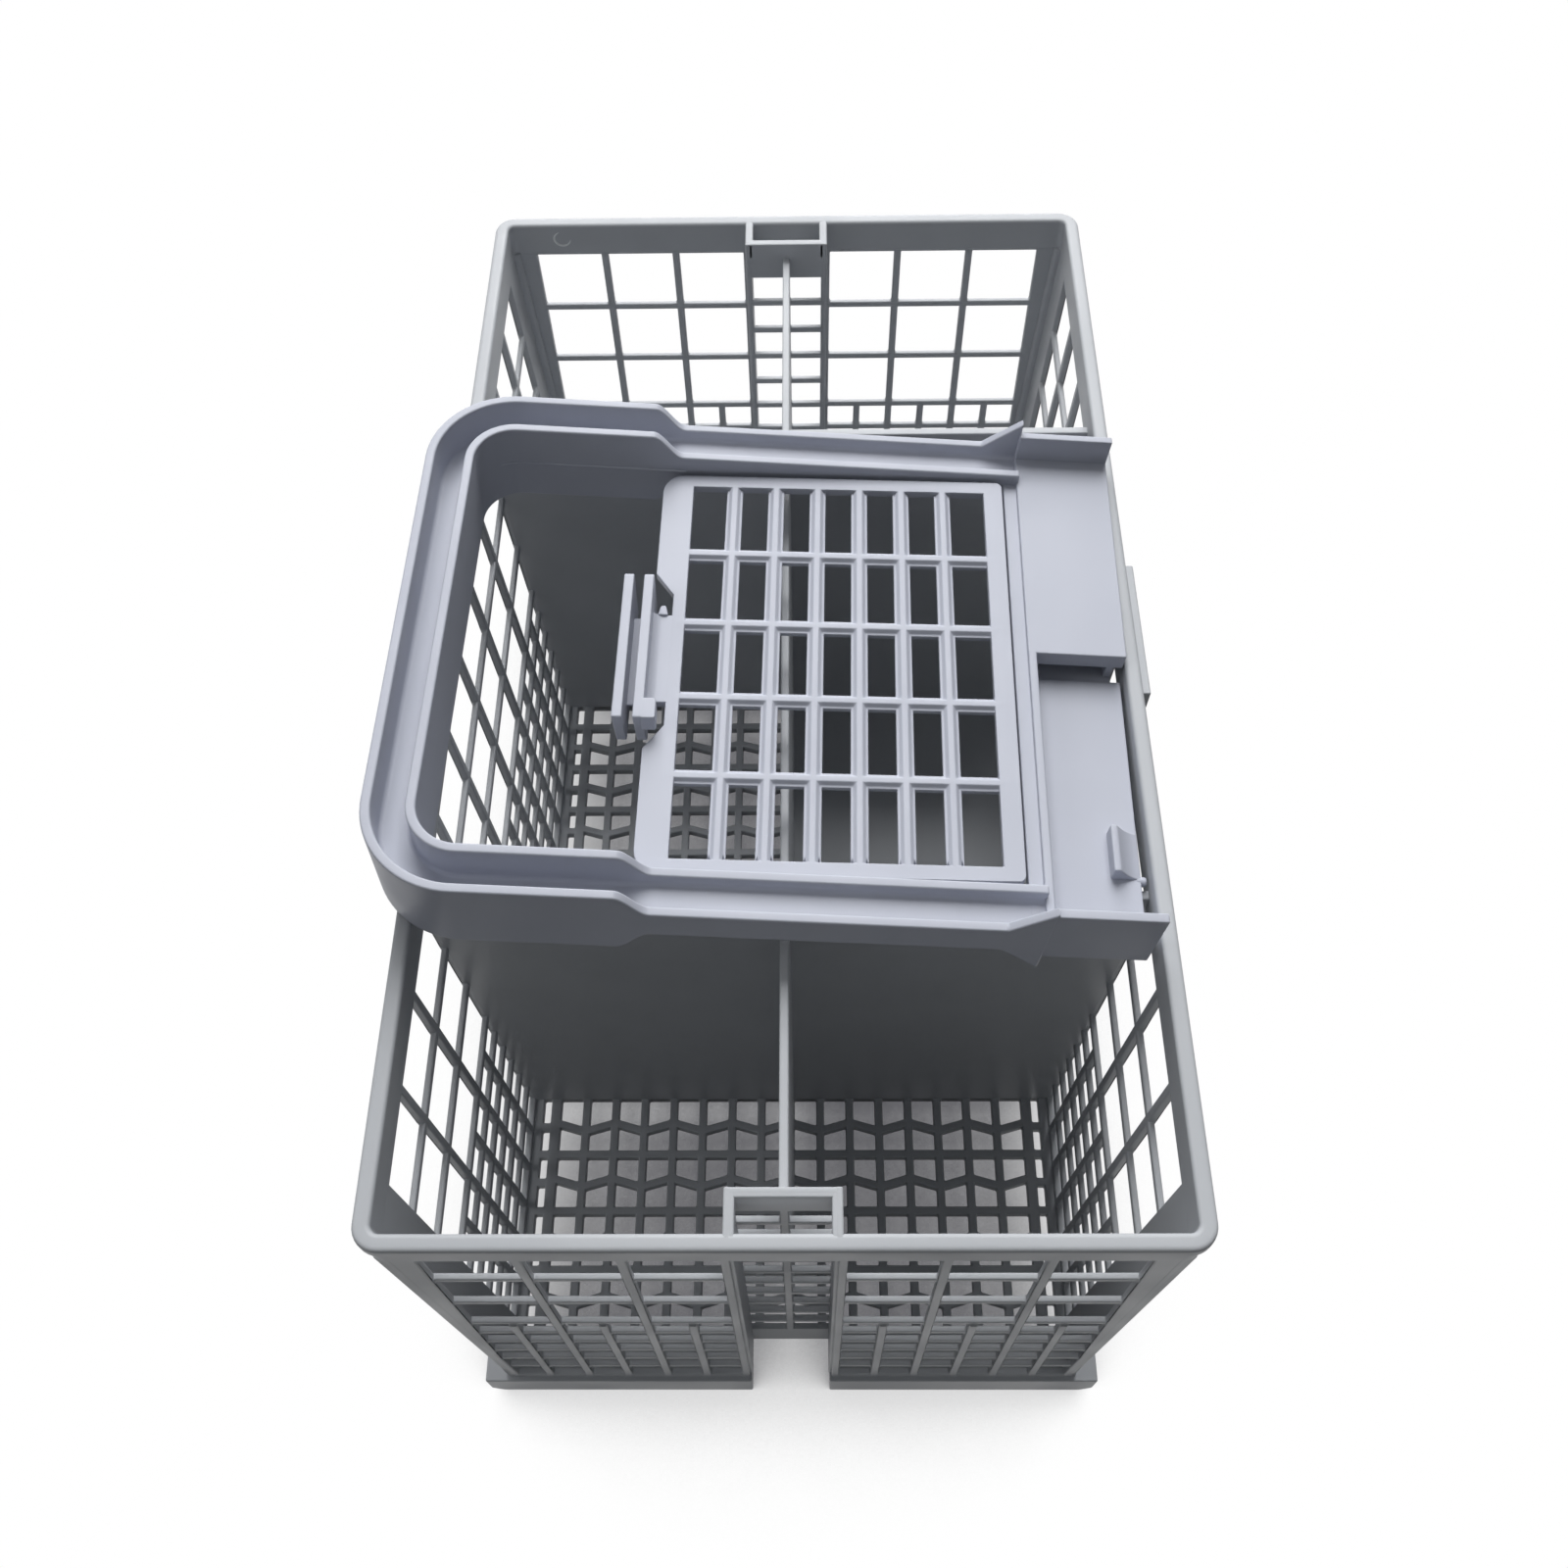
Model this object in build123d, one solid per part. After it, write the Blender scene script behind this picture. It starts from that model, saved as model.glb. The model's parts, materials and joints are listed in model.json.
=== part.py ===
from build123d import *
from math import asin, atan2, degrees, hypot
import os

# Dishwasher cutlery basket: a lattice tub, a loose carrying handle that lies across it,
# and a grid lid hinged in the handle's loop. Millimetres, X across, Y along, Z up.
# The origin is on the floor, midway between the feet.

# Basket: overall
LENGTH = 240.0
WIDTH = 136.0
HEIGHT = 122.0
WALL = 2.0
SIDE_LEAN = 5.0
FLOOR_TOP = 12.0
FLOOR_THICK = 2.4

# Basket: rim, band under it and the catches for the lid's clip
RIM_WIDTH = 3.0
RIM_HEIGHT = 3.0
RIM_LIP = 1.0
RIM_CORNER = 4.5
RIM_EDGE = 0.9
BAND_HEIGHT = 8.0
BAND_LIP = 0.5
BAND_GROOVE = 0.8
CATCH_LENGTH = 31.0
CATCH_LIP = 1.5
CATCH_HEIGHT = 5.0

# Basket: lattice of the walls
BAR = 1.9
TALL_ROWS = 3
TALL_PITCH = 17.0
LOW_ROWS = 2
CORNER_BAND = 12.4
BAY_COLUMNS = 3
MIDDLE_COLUMNS = 6
END_COLUMNS = 3
END_CORNER = 7.5

# Basket: inner walls
CROSS_WALL_Y = 56.0
CROSS_WALL_TOP = 117.0
CROSS_WALL_THICK = 1.8
DIVIDER_TOP = 118.0
DIVIDER_THICK = 1.6

# Basket: lattice of the floor
FLOOR_BAR = 2.0
FLOOR_COLUMNS = 6
FLOOR_BORDER = 5.0
BAY_FLOOR_ROWS = 4
MIDDLE_FLOOR_ROWS = 8
CHEVRON = 2.4

# Basket: pockets in the end walls, and feet
POCKET_WIDTH = 19.0
POCKET_DEPTH = 10.3
POCKET_WALL = 1.8
POCKET_ROWS = 6
FOOT_WIDTH = 133.0
FOOT_DEPTH = 6.0
FOOT_NOTCH = 17.0
FOOT_OVERLAP = 0.9
FOOT_CHAMFER = 2.5

# Handle: loop of I-section, in its own frame with the web's middle plane at zero
HANDLE_WIDTH = 111.0
GRIP_LENGTH = 43.6
LEG_LENGTH = 74.0
PLUG_LENGTH = 18.4
BEAM_WIDTH = 9.3
FLANGE = 1.8
WEB = 2.0
GRIP_CORNER = 17.0
GRIP_HEIGHT = 18.6
LEG_HEIGHT = 7.5
STEP_LENGTH = 6.0
STEP_EASE = 4.0
GUSSET_LENGTH = 7.5
GUSSET_HEIGHT = 21.0
CROSSBAR = 3.0

# Handle: plug end, a raised plate on one half and a sunk one on the other
PLUG_WALL = 1.6
PLATE = 1.6
RAISED_TOP = 2.0
SUNK_TOP = -4.0
PLUG_STEP_Y = 3.8
PLUG_LIP = 2.4
PLUG_LAP = 2.5
PLUG_SKIRT = 7.0
PLUG_OVERHANG = 1.6
PLUG_BACK_INSET = 1.4
FAR_WALL_TOP = 8.1
NEAR_WALL_TOP = 9.8
LUG_WIDTH = 9.4
LUG_LENGTH = 5.5
LUG_HEIGHT = 3.2
LUG_FROM_SIDE = 15.0
PEG_RADIUS = 0.9
PEG_LENGTH = 1.0

# Lid, in the handle's frame before it droops about its pins
LID_GAP = 0.8
LID_TOP = 2.3
LID_THICK = 1.8
LID_CORNER = 4.5
LID_HINGE_CORNER = 1.5
LID_END_GAP = 0.8
LID_FREE_X = 2.3
LID_SIDE_FRAME = 3.0
LID_HINGE_FRAME = 3.5
LID_FREE_FRAME = 2.5
LID_COLUMNS = 7
LID_ROWS = 5
LID_DROOP = 2.4
COLUMN_CREST = 1.3
COLUMN_FLANK = 1.1
ROW_CREST = 1.2
ROW_FLANK = 0.6
BAR_ROOT = 0.5
NOTCH_MOUTH = 40.0
NOTCH_FLOOR = 30.0
NOTCH_DEPTH = 3.6
CLIP_LENGTH = 33.0
CLIP_PLATE = 1.9
CLIP_SLOT = 2.3
CLIP_REACH = 0.3
CLIP_ABOVE = 8.1
CLIP_BELOW = 4.0
CLIP_TIP = 1.5
CLIP_BRIDGE = 20.0
CLIP_RETURN = 2.2
CLIP_RETURN_LENGTH = 3.9
PIN_RADIUS = 1.5
PIN_CLEARANCE = 0.05
PIN_END_GAP = 0.3
PIN_FROM_EDGE = 5.0

# Where the handle lies
SEAT_GAP = 0.3
HANDLE_X = -27.5
HANDLE_Y = -11.6
HANDLE_TURN = -1.2
GRIP_SEAT_X = -38.0

FLOOR_BOTTOM = FLOOR_TOP - FLOOR_THICK
END_OUTER = LENGTH / 2 - RIM_LIP
PANEL_INNER = LENGTH / 2 - POCKET_DEPTH
PANEL_OUTER = PANEL_INNER + POCKET_WALL
LATTICE_TOP = HEIGHT - BAND_HEIGHT
LOW_TOP = LATTICE_TOP - TALL_ROWS * TALL_PITCH
PLUG_END = LEG_LENGTH + PLUG_LENGTH
PLUG_UNDER = SUNK_TOP - PLATE
LID_HINGE_END = LEG_LENGTH - CROSSBAR - LID_END_GAP
LID_HALF = HANDLE_WIDTH / 2 - BEAM_WIDTH - LID_GAP
LID_BOTTOM = LID_TOP - LID_THICK
WINDOW_X = (LID_FREE_X + NOTCH_DEPTH + LID_FREE_FRAME, LID_HINGE_END - LID_HINGE_FRAME)
WINDOW_Y = (LID_SIDE_FRAME - LID_HALF, LID_HALF - LID_SIDE_FRAME)
PIN_X = LID_HINGE_END - PIN_FROM_EDGE


def half_width(z):
    """Half the outside width between the leaning side walls at height z."""
    lean = SIDE_LEAN * (HEIGHT - z) / (HEIGHT - FLOOR_TOP)
    return WIDTH / 2 - RIM_LIP - lean


def spaced(start, end, count):
    """Evenly spaced lines from start to end, both included."""
    return [start + (end - start) * i / count for i in range(count + 1)]


def upright_section(low, high, inset):
    """Cross-section of the tub between two heights, drawn in the XZ plane."""
    bottom, top = half_width(low) - inset, half_width(high) - inset
    corners = [(-bottom, low), (bottom, low), (top, high), (-top, high)]
    return Plane.XZ * Polygon(*corners, align=None)


def cells(columns, rows):
    """Openings of a lattice whose bars are centred on the given lines."""
    openings = Sketch()
    for left, right in zip(columns, columns[1:]):
        for low, high in zip(rows, rows[1:]):
            size = (right - left - BAR, high - low - BAR)
            openings += Pos((left + right) / 2, (low + high) / 2) * Rectangle(*size)
    return openings


def halved(lines):
    """The lines with one more midway between each two."""
    return sorted(lines + [(a + b) / 2 for a, b in zip(lines, lines[1:])])


def wall_openings(columns):
    """Tall square cells above, and cells at half the column pitch below."""
    tall = spaced(LOW_TOP, LATTICE_TOP, TALL_ROWS)
    low = spaced(FLOOR_TOP, LOW_TOP, LOW_ROWS)
    return cells(columns, tall) + cells(halved(columns), low)


def side_openings():
    """Cutters through both side walls, bay by bay."""
    edge = LENGTH / 2 - CORNER_BAND
    front = spaced(-edge, -CROSS_WALL_Y, BAY_COLUMNS)
    middle = spaced(-CROSS_WALL_Y, CROSS_WALL_Y, MIDDLE_COLUMNS)
    back = spaced(CROSS_WALL_Y, edge, BAY_COLUMNS)
    openings = wall_openings(front) + wall_openings(middle) + wall_openings(back)
    return extrude(Plane.YZ * openings, WIDTH, both=True)


def end_openings():
    """Cutters through both end walls, on each side of the pockets."""
    right = spaced(POCKET_WIDTH / 2, WIDTH / 2 - END_CORNER, END_COLUMNS)
    left = [-x for x in reversed(right)]
    openings = wall_openings(left) + wall_openings(right)
    return extrude(Plane.XZ * openings, LENGTH, both=True)


def chevron_offset(x, pitch):
    """Offset of the zigzag at x: one way at every second long bar, the other way between them."""
    return CHEVRON * (2 * abs(abs(x / pitch) % 2 - 1) - 1)


def floor_bay(columns, rows):
    """Floor openings of one bay; every second cross bar is a zigzag."""
    pitch = columns[1] - columns[0]
    half = FLOOR_BAR / 2
    openings = Sketch()
    for left, right in zip(columns, columns[1:]):
        for i, (near, far) in enumerate(zip(rows, rows[1:])):
            a, b = left + half, right - half
            near_bend, far_bend = (0, 1) if i % 2 == 0 else (1, 0)
            openings += Polygon(
                (a, near + half + near_bend * chevron_offset(a, pitch)),
                (b, near + half + near_bend * chevron_offset(b, pitch)),
                (b, far - half + far_bend * chevron_offset(b, pitch)),
                (a, far - half + far_bend * chevron_offset(a, pitch)),
                align=None,
            )
    return openings


def floor_openings():
    """Cutters through the floor; the right half of the middle bay stays closed."""
    edge = half_width(FLOOR_TOP) - WALL - FLOOR_BORDER
    columns = spaced(-edge, edge, FLOOR_COLUMNS)
    back = spaced(CROSS_WALL_Y, PANEL_INNER - FLOOR_BAR / 2, BAY_FLOOR_ROWS)
    front = [-y for y in reversed(back)]
    middle = spaced(-CROSS_WALL_Y, CROSS_WALL_Y, MIDDLE_FLOOR_ROWS)
    left_half = columns[: FLOOR_COLUMNS // 2 + 1]
    openings = floor_bay(columns, front) + floor_bay(left_half, middle) + floor_bay(columns, back)
    return extrude(Plane.XY.offset(FLOOR_BOTTOM - FLOOR_THICK) * openings, 3 * FLOOR_THICK)


def tub():
    """Walls and floor, with their lattices cut."""
    trough = extrude(upright_section(FLOOR_BOTTOM, HEIGHT, 0), END_OUTER, both=True)
    room = extrude(upright_section(FLOOR_TOP, HEIGHT, WALL), END_OUTER - WALL, both=True)
    return trough - room - side_openings() - end_openings() - floor_openings()


def rim():
    """Rounded bead all round, the band below it and a catch midway along each side."""
    outline = RectangleRounded(WIDTH, LENGTH, RIM_CORNER)
    hole = RectangleRounded(WIDTH - 2 * RIM_WIDTH, LENGTH - 2 * RIM_WIDTH, RIM_CORNER - RIM_WIDTH / 2)
    bead = extrude(Plane.XY.offset(HEIGHT - RIM_HEIGHT) * (outline - hole), RIM_HEIGHT)
    bead = chamfer(bead.faces().sort_by(Axis.Z)[-1].edges(), RIM_EDGE)
    wide = 2 * (half_width(HEIGHT) + BAND_LIP)
    long = 2 * (END_OUTER + BAND_LIP)
    inner = Rectangle(wide - 2 * WALL, long - 2 * WALL)
    shape = RectangleRounded(wide, long, RIM_CORNER - RIM_LIP) - inner
    band = extrude(Plane.XY.offset(LATTICE_TOP) * shape, BAND_HEIGHT - RIM_HEIGHT - BAND_GROOVE)
    catch = Box(WIDTH + 2 * CATCH_LIP, CATCH_LENGTH, CATCH_HEIGHT)
    catch -= Box(WIDTH - RIM_WIDTH, CATCH_LENGTH, CATCH_HEIGHT)
    return bead + band + Pos(0, 0, HEIGHT - RIM_EDGE - CATCH_HEIGHT / 2) * catch


def inner_walls():
    """Two solid cross walls and the long divider."""
    low = FLOOR_TOP - FLOOR_THICK / 2
    section = upright_section(low, CROSS_WALL_TOP, WALL / 2)
    cross = extrude(section, CROSS_WALL_THICK / 2, both=True)
    divider = Pos(0, 0, (low + DIVIDER_TOP) / 2) * Box(
        DIVIDER_THICK, PANEL_INNER + PANEL_OUTER, DIVIDER_TOP - low
    )
    return Pos(0, CROSS_WALL_Y) * cross + Pos(0, -CROSS_WALL_Y) * cross + divider


def pocket():
    """Recess in the far end wall: a U in plan, with two columns of cells in its panel."""
    outside = Pos(0, (PANEL_INNER + END_OUTER) / 2) * Rectangle(POCKET_WIDTH, END_OUTER - PANEL_INNER)
    channel = Pos(0, (PANEL_OUTER + LENGTH) / 2) * Rectangle(
        POCKET_WIDTH - 2 * POCKET_WALL, LENGTH - PANEL_OUTER
    )
    shell = extrude(Plane.XY.offset(FLOOR_BOTTOM) * (outside - channel), HEIGHT - FLOOR_BOTTOM)
    half = POCKET_WIDTH / 2 - POCKET_WALL
    rows = spaced(FLOOR_TOP, LATTICE_TOP, POCKET_ROWS)
    openings = cells([-half, 0, half], rows)
    return shell - Pos(0, PANEL_OUTER) * extrude(Plane.XZ * openings, 2 * POCKET_WALL, both=True)


def pocket_channel():
    """The space of the far pocket, open to the outside below the band."""
    width = POCKET_WIDTH - 2 * POCKET_WALL
    depth = LENGTH / 2 - PANEL_OUTER
    return Pos(0, PANEL_OUTER + depth / 2, LATTICE_TOP / 2) * Box(width, depth, LATTICE_TOP)


def foot():
    """One foot strip under the far right of the end wall, its outer lower corner cut off."""
    inner, outer = FOOT_NOTCH / 2, FOOT_WIDTH / 2
    top = FLOOR_BOTTOM + FOOT_OVERLAP
    corners = [(inner, 0), (outer - FOOT_CHAMFER, 0), (outer, FOOT_CHAMFER), (outer, top), (inner, top)]
    strip = extrude(Plane.XZ * Polygon(*corners, align=None), FOOT_DEPTH)
    return Pos(0, LENGTH / 2) * strip


def basket_body():
    """The whole tub as one moulding."""
    ends = pocket() + foot() + mirror(foot(), Plane.YZ)
    channel = pocket_channel()
    body = tub() + rim() - channel - mirror(channel, Plane.XZ)
    return body + inner_walls() + ends + mirror(ends, Plane.XZ)


def loop_plan(inset):
    """Plan of the handle's loop, drawn in by an inset; the plug end is left square."""
    left, right = -GRIP_LENGTH + inset, LEG_LENGTH
    half = HANDLE_WIDTH / 2 - inset
    plan = Pos((left + right) / 2, 0) * Rectangle(right - left, 2 * half)
    corners = plan.vertices().filter_by_position(Axis.X, left - 0.1, left + 0.1)
    return fillet(corners, GRIP_CORNER - inset)


def flange_profile(end_height):
    """Side view of a flange: tall at the grip, stepped down along the legs, then end_height."""
    grip, leg, end = GRIP_HEIGHT / 2, LEG_HEIGHT / 2, end_height / 2
    gusset = LEG_LENGTH - GUSSET_LENGTH
    top = [(-GRIP_LENGTH, grip), (0, grip), (STEP_LENGTH, leg), (gusset, leg), (LEG_LENGTH, end)]
    outline = top + [(x, -z) for x, z in reversed(top)]
    profile = Polygon(*outline, align=None)
    eased = profile.vertices().filter_by_position(Axis.X, -0.1, STEP_LENGTH + 0.1)
    return Plane.XZ * fillet(eased, STEP_EASE)


def loop():
    """Web with an outer and an inner flange, and the crossbar that closes the loop."""
    opening = loop_plan(BEAM_WIDTH) - Pos(LEG_LENGTH - CROSSBAR / 2, 0) * Rectangle(CROSSBAR, HANDLE_WIDTH)
    web = extrude(loop_plan(0) - opening, WEB / 2, both=True)
    outer_ring = loop_plan(0) - loop_plan(FLANGE)
    inner_ring = loop_plan(BEAM_WIDTH - FLANGE) - loop_plan(BEAM_WIDTH)
    outer = extrude(outer_ring, GUSSET_HEIGHT, both=True)
    outer &= extrude(flange_profile(GUSSET_HEIGHT), HANDLE_WIDTH, both=True)
    inner = extrude(inner_ring, GUSSET_HEIGHT, both=True)
    inner &= extrude(flange_profile(LEG_HEIGHT), HANDLE_WIDTH, both=True)
    return web + outer + inner


def block(x, y, z):
    """Box between two limits on each axis."""
    size = [high - low for low, high in (x, y, z)]
    middle = [(high + low) / 2 for low, high in (x, y, z)]
    return Pos(*middle) * Box(*size)


def plug():
    """End of the handle: raised far plate with a lip and a skirt, sunk near plate, end walls and catch."""
    half = HANDLE_WIDTH / 2
    back = half - PLUG_BACK_INSET
    whole = (LEG_LENGTH, PLUG_END)
    inside_rim = (LEG_LENGTH, PLUG_END - PLUG_OVERHANG)
    rib = (LEG_LENGTH, LEG_LENGTH + PLUG_WALL)
    skirt = (inside_rim[1] - PLUG_WALL, inside_rim[1])
    far_wall = (back - PLUG_WALL, back)
    plate, low = RAISED_TOP - PLATE, RAISED_TOP - PLUG_SKIRT
    raised = block(whole, (PLUG_STEP_Y, back), (plate, RAISED_TOP))
    raised += block(whole, (PLUG_STEP_Y, PLUG_STEP_Y + PLUG_WALL), (RAISED_TOP - PLUG_LIP, RAISED_TOP))
    raised += block(skirt, (PLUG_STEP_Y, back), (low, RAISED_TOP))
    sunk = block(whole, (-half, PLUG_STEP_Y + PLUG_LAP), (PLUG_UNDER, SUNK_TOP))
    wall = block(rib, (-half, half), (PLUG_UNDER, RAISED_TOP))
    far_end = block(whole, far_wall, (plate, FAR_WALL_TOP)) + block(inside_rim, far_wall, (low, RAISED_TOP))
    near_end = block(whole, (-half, FLANGE - half), (PLUG_UNDER, NEAR_WALL_TOP))
    return raised + sunk + wall + far_end + near_end + plug_catch()


def plug_catch():
    """Ramped lug on the sunk plate, and the peg beside it."""
    low, high = SUNK_TOP - PLATE / 2, SUNK_TOP + LUG_HEIGHT
    start = PLUG_END - LUG_LENGTH
    ramp = Polygon((start, low), (PLUG_END, low), (start, high), align=None)
    middle = LUG_FROM_SIDE + LUG_WIDTH / 2 - HANDLE_WIDTH / 2
    lug = Pos(0, middle) * extrude(Plane.XZ * ramp, LUG_WIDTH / 2, both=True)
    peg = Cylinder(PEG_RADIUS, 2 * PEG_LENGTH, rotation=(0, 90, 0))
    return lug + Pos(PLUG_END, middle - LUG_WIDTH / 2, SUNK_TOP - PLATE / 2) * peg


def handle():
    """The carrying handle, with a pivot hole in each inner flange."""
    inner = HANDLE_WIDTH / 2 - BEAM_WIDTH
    bore = Cylinder(PIN_RADIUS + PIN_CLEARANCE, 2 * (inner + FLANGE), rotation=(90, 0, 0))
    return loop() + plug() - Pos(PIN_X, 0, 0) * bore


def lid_plate():
    """Flat frame round one wide window, with rounded corners and a notch for the clip."""
    length = LID_HINGE_END - LID_FREE_X
    plan = Pos(LID_FREE_X + length / 2, 0) * Rectangle(length, 2 * LID_HALF)
    plan = fillet(plan.vertices().group_by(Axis.X)[0], LID_CORNER)
    plan = fillet(plan.vertices().group_by(Axis.X)[-1], LID_HINGE_CORNER)
    mouth, floor, deep = NOTCH_MOUTH / 2, NOTCH_FLOOR / 2, LID_FREE_X + NOTCH_DEPTH
    notch = [(LID_FREE_X, -mouth), (deep, -floor), (deep, floor), (LID_FREE_X, mouth)]
    plate = extrude(plan - Polygon(*notch, align=None), LID_THICK)
    return Pos(0, 0, LID_BOTTOM) * plate - block(WINDOW_X, WINDOW_Y, (LID_BOTTOM, LID_TOP))


def bar_section(crest, flank):
    """Section of a lid bar: a flat crest with a flank that slopes out on each side."""
    half = crest / 2
    foot = half + flank
    return Polygon((-foot, LID_BOTTOM), (foot, LID_BOTTOM), (half, LID_TOP), (-half, LID_TOP), align=None)


def lid_bars():
    """Bars across the lid's window, each rooted in the frame at both ends."""
    columns, rows = spaced(*WINDOW_X, LID_COLUMNS)[1:-1], spaced(*WINDOW_Y, LID_ROWS)[1:-1]
    width, length = WINDOW_X[1] - WINDOW_X[0], WINDOW_Y[1] - WINDOW_Y[0]
    column = extrude(Plane.XZ * bar_section(COLUMN_CREST, COLUMN_FLANK), length / 2 + BAR_ROOT, both=True)
    row = extrude(Plane.YZ * bar_section(ROW_CREST, ROW_FLANK), width / 2 + BAR_ROOT, both=True)
    middle = (WINDOW_X[0] + WINDOW_X[1]) / 2
    return [Pos(x, 0) * column for x in columns] + [Pos(middle, y) * row for y in rows]


def clip():
    """Two upright plates with a slot between them, bridged to the lid's notch; one end turns in."""
    inner = LID_FREE_X - CLIP_REACH
    outer = inner - CLIP_PLATE - CLIP_SLOT
    along = (-CLIP_LENGTH / 2, CLIP_LENGTH / 2)
    upright = (-CLIP_BELOW, CLIP_ABOVE)
    plates = block((inner - CLIP_PLATE, inner), along, upright)
    plates += block((outer - CLIP_PLATE, outer), along, upright)
    bridge_x = (outer - CLIP_PLATE / 2, LID_FREE_X + NOTCH_DEPTH + LID_FREE_FRAME / 2)
    bridge = block(bridge_x, (-CLIP_BRIDGE / 2, CLIP_BRIDGE / 2), (LID_BOTTOM, LID_TOP))
    turned_in = block((inner, inner + CLIP_RETURN), (along[0], along[0] + CLIP_RETURN_LENGTH), upright)
    tips = plates.edges().filter_by(Axis.Y).sort_by(Axis.Z)[:4]
    return chamfer(tips, CLIP_TIP, CLIP_PLATE / 3) + bridge + turned_in


def lid():
    """The grid lid with its clip and its two pivot stubs, drooping about them."""
    reach = HANDLE_WIDTH / 2 - BEAM_WIDTH + FLANGE - PIN_END_GAP
    pins = Pos(PIN_X, 0, 0) * Cylinder(PIN_RADIUS, 2 * reach, rotation=(90, 0, 0))
    pins -= Pos(PIN_X, 0, 0) * Box(4 * PIN_RADIUS, 2 * LID_HALF - LID_SIDE_FRAME, 4 * PIN_RADIUS)
    flat = lid_plate() + lid_bars() + clip() + pins
    return Pos(PIN_X, 0, 0) * Rot(Y=-LID_DROOP) * Pos(-PIN_X, 0, 0) * flat


def resting_place():
    """Pose of the handle: grip on the left rim, sunk plate on the near cross wall."""
    rise = GRIP_HEIGHT / 2 + PLUG_UNDER
    run = PLUG_END - GRIP_SEAT_X
    drop = HEIGHT - CROSS_WALL_TOP
    tilt = asin(drop / hypot(rise, run)) + atan2(rise, run)
    level = Rot(Y=degrees(tilt)) * Pos(GRIP_SEAT_X, 0, -GRIP_HEIGHT / 2)
    lift = HEIGHT + SEAT_GAP - level.position.Z
    return Pos(HANDLE_X, HANDLE_Y, lift) * Rot(Z=HANDLE_TURN) * Rot(Y=degrees(tilt))


def main():
    """Write one STEP file for each moulding."""
    os.makedirs("parts", exist_ok=True)
    place = resting_place()
    pieces = {"basket_body": basket_body(), "handle": place * handle(), "lid": place * lid()}
    for name, solid in pieces.items():
        export_step(solid, f"parts/{name}.step")
    hinge = place * Pos(PIN_X, 0, 0)
    print("hinge at", hinge.position, "along", hinge.y_axis.direction)


main()
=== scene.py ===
"""Dishwasher cutlery basket dressed for its picture: lattice tub, carrying handle and hinged grid lid.

Every shape is worked out in millimetres, X across, Y away from the viewer and Z up, and goes
into its mesh in metres.
"""

import json
import logging
import math
from collections.abc import Callable
from dataclasses import dataclass
from enum import Enum

import bpy
import numpy as np
from mathutils import Matrix, Vector

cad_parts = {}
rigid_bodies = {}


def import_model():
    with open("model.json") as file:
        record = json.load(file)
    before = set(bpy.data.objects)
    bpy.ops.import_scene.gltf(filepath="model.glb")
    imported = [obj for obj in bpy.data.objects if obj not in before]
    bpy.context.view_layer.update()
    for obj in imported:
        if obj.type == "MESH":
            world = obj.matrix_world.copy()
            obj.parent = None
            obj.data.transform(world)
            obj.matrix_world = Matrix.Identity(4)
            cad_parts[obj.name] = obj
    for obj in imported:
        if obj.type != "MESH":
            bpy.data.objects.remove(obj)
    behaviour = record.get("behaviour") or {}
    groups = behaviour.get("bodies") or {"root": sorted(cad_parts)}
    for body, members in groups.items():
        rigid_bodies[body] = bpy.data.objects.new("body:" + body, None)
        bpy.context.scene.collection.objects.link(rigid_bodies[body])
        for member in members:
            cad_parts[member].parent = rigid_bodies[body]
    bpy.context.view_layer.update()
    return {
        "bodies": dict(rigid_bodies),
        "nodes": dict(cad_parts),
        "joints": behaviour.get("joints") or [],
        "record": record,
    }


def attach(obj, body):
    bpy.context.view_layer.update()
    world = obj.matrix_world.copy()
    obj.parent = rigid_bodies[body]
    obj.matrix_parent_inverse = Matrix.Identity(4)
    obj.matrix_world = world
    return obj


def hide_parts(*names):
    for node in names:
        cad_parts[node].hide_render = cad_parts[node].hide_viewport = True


LOG = logging.getLogger("cutlery_basket")
MM = 0.001
# Shells that overlap in one piece stay this far out of each other's planes, in millimetres.
HAIR = 0.02
# Points of an outline that lie closer than this, in millimetres, count as one.
SAME_POINT = 1e-6


class Body(Enum):
    """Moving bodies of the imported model."""

    BASKET = "basket"
    LID = "lid"


class Axis(Enum):
    """Direction that an outline is carried along; the outline is drawn in the other two."""

    X = 0
    Y = 1
    Z = 2


class Socket(Enum):
    """Kinds of socket on a shader node group."""

    VECTOR = "NodeSocketVector"
    COLOUR = "NodeSocketColor"
    VALUE = "NodeSocketFloat"


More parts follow.
